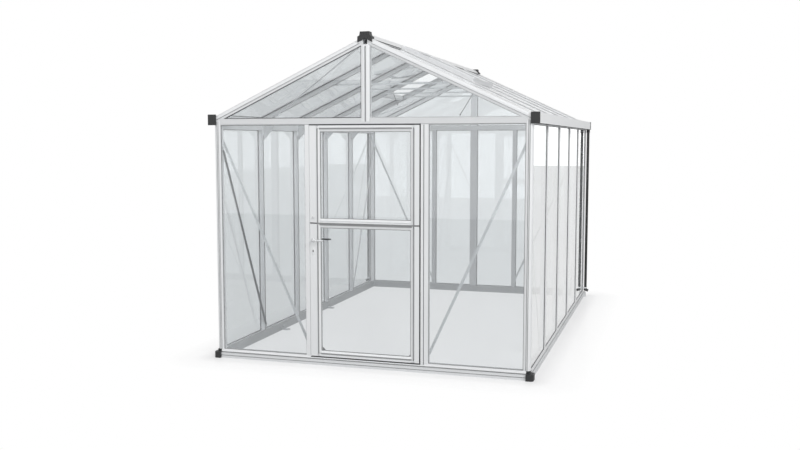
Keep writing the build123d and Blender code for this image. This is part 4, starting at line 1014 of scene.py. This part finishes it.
def fitCollars():  # ring with a thicker lip at its lower end and a ball at the foot, turned about each pipe
    c = collarSet
    tops = [points[points[:, 2] > points[:, 2].max() - c["level"]] for points in nodeSolids("downpipes")]
    centres = [(middleOf(top[:, 0]), middleOf(top[:, 1]), top[0, 2]) for top in tops]
    feet = [(x, y, c["elbowHeight"]) for x, y, _ in centres]
    profile = np.array([(c[radius], share * c["high"]) for radius, share in c["profile"]])
    rings = turned(centres, [(0.0, 0.0, -1.0)] * len(centres), profile, c["steps"])
    turn = np.linspace(c["pole"], pi - c["pole"], c["ballRows"])
    ball = np.stack([np.sin(turn), -np.cos(turn)], axis=1) * c["elbow"]
    elbows = turned(feet, [(0.0, 0.0, 1.0)] * len(feet), ball, c["ballSteps"])
    shells = [tubes(rings.transpose(0, 2, 1, 3), wrapRows=True), tubes(elbows)]
    makePiece("pipeCollars", shells, "pipe")


fitCollars()
print("pipe collars fitted")

# Painted shade under the gutters as dark strips, and rims at their rear ends
gutterSet = {"under": 1.803, "high": 0.0012, "inner": 1.2225, "outer": 1.2620, "flange": 0.0055, "top": 1.878,
             "flangeDeep": 0.012, "frontRoom": 0.03, "rearRoom": 0.06, "rimLow": 0.002}


def shadeGuttersAndFitRims():  # dark strips of painted shade along the gutters' undersides, and rims up their rear ends
    g = gutterSet
    seals = bothSides((g["inner"], -halfLength + g["frontRoom"], g["under"] - g["high"]),
                      (g["outer"], halfLength - g["rearRoom"], g["under"]))
    rims = bothSides((g["outer"], halfLength - g["flangeDeep"], g["under"] - g["rimLow"]),
                     (g["outer"] + g["flange"], halfLength, g["top"]))
    makePiece("gutterUndersideShade", seals, "rubber")
    makePiece("gutterRims", rims, "cap")


shadeGuttersAndFitRims()
print("gutters sealed")

# Painted shade at the edge of the ridge's wings, beside the vents, as dark strips
ridgeSet = {"wing": 0.048, "thick": 0.0005, "over": 0.001, "under": 0.009,
            "right": ((-1.84, -1.10), (0.37, 1.84)), "left": ((-1.84, 0.36), (1.10, 1.84))}


def shadeRidgeWings():  # straight dark strips of painted shade along the wings' edges
    r = ridgeSet
    low, high = roofHeight(r["wing"], r["under"]), roofHeight(r["wing"], r["over"])
    shells = []
    for side, spans in ((1.0, r["right"]), (-1.0, r["left"])):
        x = sorted((side * r["wing"], side * (r["wing"] + r["thick"])))
        shells += [boxStrip((x[0], start, low), (x[1], end, high)) for start, end in spans]
    makePiece("ridgeWingShade", shells, "rubber")


shadeRidgeWings()
print("ridge sealed")

# Pale floor with a painted contact shadow round the base, white surround and soft lamps
stageSet = {"floorTone": (0.78, 0.79, 0.80, 1), "floorSeenTone": (0.42, 0.42, 0.425, 1), "floorLift": 0.66,
            "near": 0.05, "far": 0.4, "paintedContactShadow": 0.14, "paintedShadowReach": 0.17, "floorMirror": 1.1,
            "insideMirrorShade": 0.70, "metalMirror": 0.78, "floorRough": 0.13, "floorGloss": 0.06, "left": -19.5,
            "right": 19.5, "front": -14.7, "back": 54.5, "skyView": 1.0, "skyLight": 0.38, "mirrorLow": 1.9,
            "mirrorHigh": 0.88, "mirrorStart": 0.035, "mirrorEnd": 0.11, "deepFrom": 2.5, "deepGlow": 0.9,
            "metalSky": 1.0}
lampSet = [
    {"name": "keyLamp", "place": (10.0, -12.0, 9.5), "aim": (0, 0, 1.0), "size": (9.0, 7.0),
     "power": 1500.0},
    {"name": "fillLamp", "place": (-8.0, -15.0, 7.0), "aim": (0, 0, 1.0), "size": (12.0, 8.0),
     "power": 350.0},
]


def rayKinds(tree):  # masks: seen straight or through glass, mirrored by glass, mirrored by metal
    rays = addNode(tree, "ShaderNodeLightPath").outputs
    mirrored = calc(tree, "GREATER_THAN", rays["Glossy Depth"], 0.5)
    direct = calc(tree, "MAXIMUM", rays["Is Camera Ray"], rays["Is Transmission Ray"])
    byGlass = times(tree, mirrored, rays["Is Singular Ray"])
    seen = times(tree, direct, minus(tree, 1.0, mirrored))
    return seen, byGlass, minus(tree, mirrored, byGlass)


def summed(tree, *pairs):  # each value times its mask, added up
    total = 0.0
    for mask, value in pairs:
        total = plus(tree, times(tree, mask, value), total)
    return total


def beyondHouse(tree, place):  # distance outward from the plan of the house
    steps = (("ABSOLUTE", None), ("SUBTRACT", (halfWidth, halfLength, 0.0)), ("MAXIMUM", (0.0, 0.0, 0.0)))
    for operation, value in steps:
        inputs = {0: place} if value is None else {0: place, 1: value}
        place = addNode(tree, "ShaderNodeVectorMath", inputs, operation=operation).outputs[0]
    return addNode(tree, "ShaderNodeVectorMath", {0: place}, operation="LENGTH").outputs["Value"]


def buildFloor():
    s = stageSet
    corners = [[x, y, 0.0] for y in (s["front"], s["back"]) for x in (s["left"], s["right"])]
    mesh = bpy.data.meshes.new("studioFloor")
    mesh.from_pydata(corners, [], [[0, 1, 3, 2]])
    floor = bpy.data.objects.new("studioFloor", mesh)
    scene.collection.objects.link(floor)
    material, tree, shader, place = newMaterial("studioFloorPaint")
    seen, byGlass, byMetal = rayKinds(tree)
    distance = beyondHouse(tree, place)
    # in glass reflections the floor inside the plan is dimmer, painted shade
    mirror = spread(tree, distance, s["insideMirrorShade"], s["floorMirror"], 0.0, s["near"])
    away = spread(tree, distance, 0.0, 1.0, s["near"], s["far"])
    seenTone = blendTone(tree, away, s["floorSeenTone"], (0, 0, 0, 1))
    tone = blendTone(tree, seen, s["floorTone"], seenTone)
    mirrored = plus(tree, byGlass, byMetal)
    tree.links.new(blendTone(tree, mirrored, tone, (0, 0, 0, 1)), shader.inputs["Base Color"])
    shader.inputs["Roughness"].default_value = 1.0
    shader.inputs["Specular IOR Level"].default_value = 0.0
    shader.inputs["Emission Color"].default_value = (1, 1, 1, 1)
    # painted contact shadow: the seen floor darkens just outside the plan of the house
    outside = calc(tree, "GREATER_THAN", distance, 0.0)
    paintedContactShadow = times(tree, outside, spread(tree, distance, s["paintedContactShadow"], 0.0, 0.0, s["paintedShadowReach"]))
    white = minus(tree, spread(tree, away, s["floorLift"], 1.0), paintedContactShadow)
    lift = summed(tree, (seen, white), (byGlass, mirror), (byMetal, s["metalMirror"]))
    tree.links.new(lift, shader.inputs["Emission Strength"])
    polish = addNode(tree, "ShaderNodeBsdfGlossy", {"Roughness": s["floorRough"]})
    share = times(tree, times(tree, seen, minus(tree, 1.0, away)), s["floorGloss"])
    mix = addNode(tree, "ShaderNodeMixShader", {0: share, 1: shader.outputs[0], 2: polish.outputs[0]})
    tree.links.new(mix.outputs[0], tree.nodes["Material Output"].inputs["Surface"])
    mesh.materials.append(material)


def buildSurround():
    s = stageSet
    world = bpy.data.worlds.new("studioSurround")
    scene.world = world
    world.use_nodes = True
    tree = world.node_tree
    sky = tree.nodes["Background"]
    sky.inputs["Color"].default_value = (1, 1, 1, 1)
    seen, byGlass, byMetal = rayKinds(tree)
    aim = addNode(tree, "ShaderNodeTexCoord").outputs["Generated"]
    parts = partsOf(tree, aim)
    depth = addNode(tree, "ShaderNodeLightPath").outputs["Transmission Depth"]
    glow = spread(tree, parts["Z"], s["mirrorLow"], s["mirrorHigh"], s["mirrorStart"], s["mirrorEnd"])
    deep = times(tree, calc(tree, "GREATER_THAN", depth, s["deepFrom"]),
                 calc(tree, "LESS_THAN", parts["Y"], 0.0))  # mirrored by the back wall
    glow = times(tree, glow, spread(tree, deep, 1.0, 1.0 + s["deepGlow"]))
    rest = minus(tree, 1.0, plus(tree, seen, plus(tree, byGlass, byMetal)))
    strength = summed(tree, (seen, s["skyView"]), (byGlass, glow), (byMetal, s["metalSky"]),
                      (rest, s["skyLight"]))
    tree.links.new(strength, sky.inputs["Strength"])


def hangLamps():
    for lamp in lampSet:
        data = bpy.data.lights.new(lamp["name"], "AREA")
        data.shape = "RECTANGLE"
        data.size, data.size_y = lamp["size"]
        data.energy = lamp["power"]
        piece = bpy.data.objects.new(lamp["name"], data)
        piece.location = lamp["place"]
        aim = Vector(lamp["aim"]) - Vector(lamp["place"])
        piece.rotation_euler = aim.to_track_quat("-Z", "Y").to_euler()
        scene.collection.objects.link(piece)


buildFloor()
buildSurround()
hangLamps()
print("stage built")
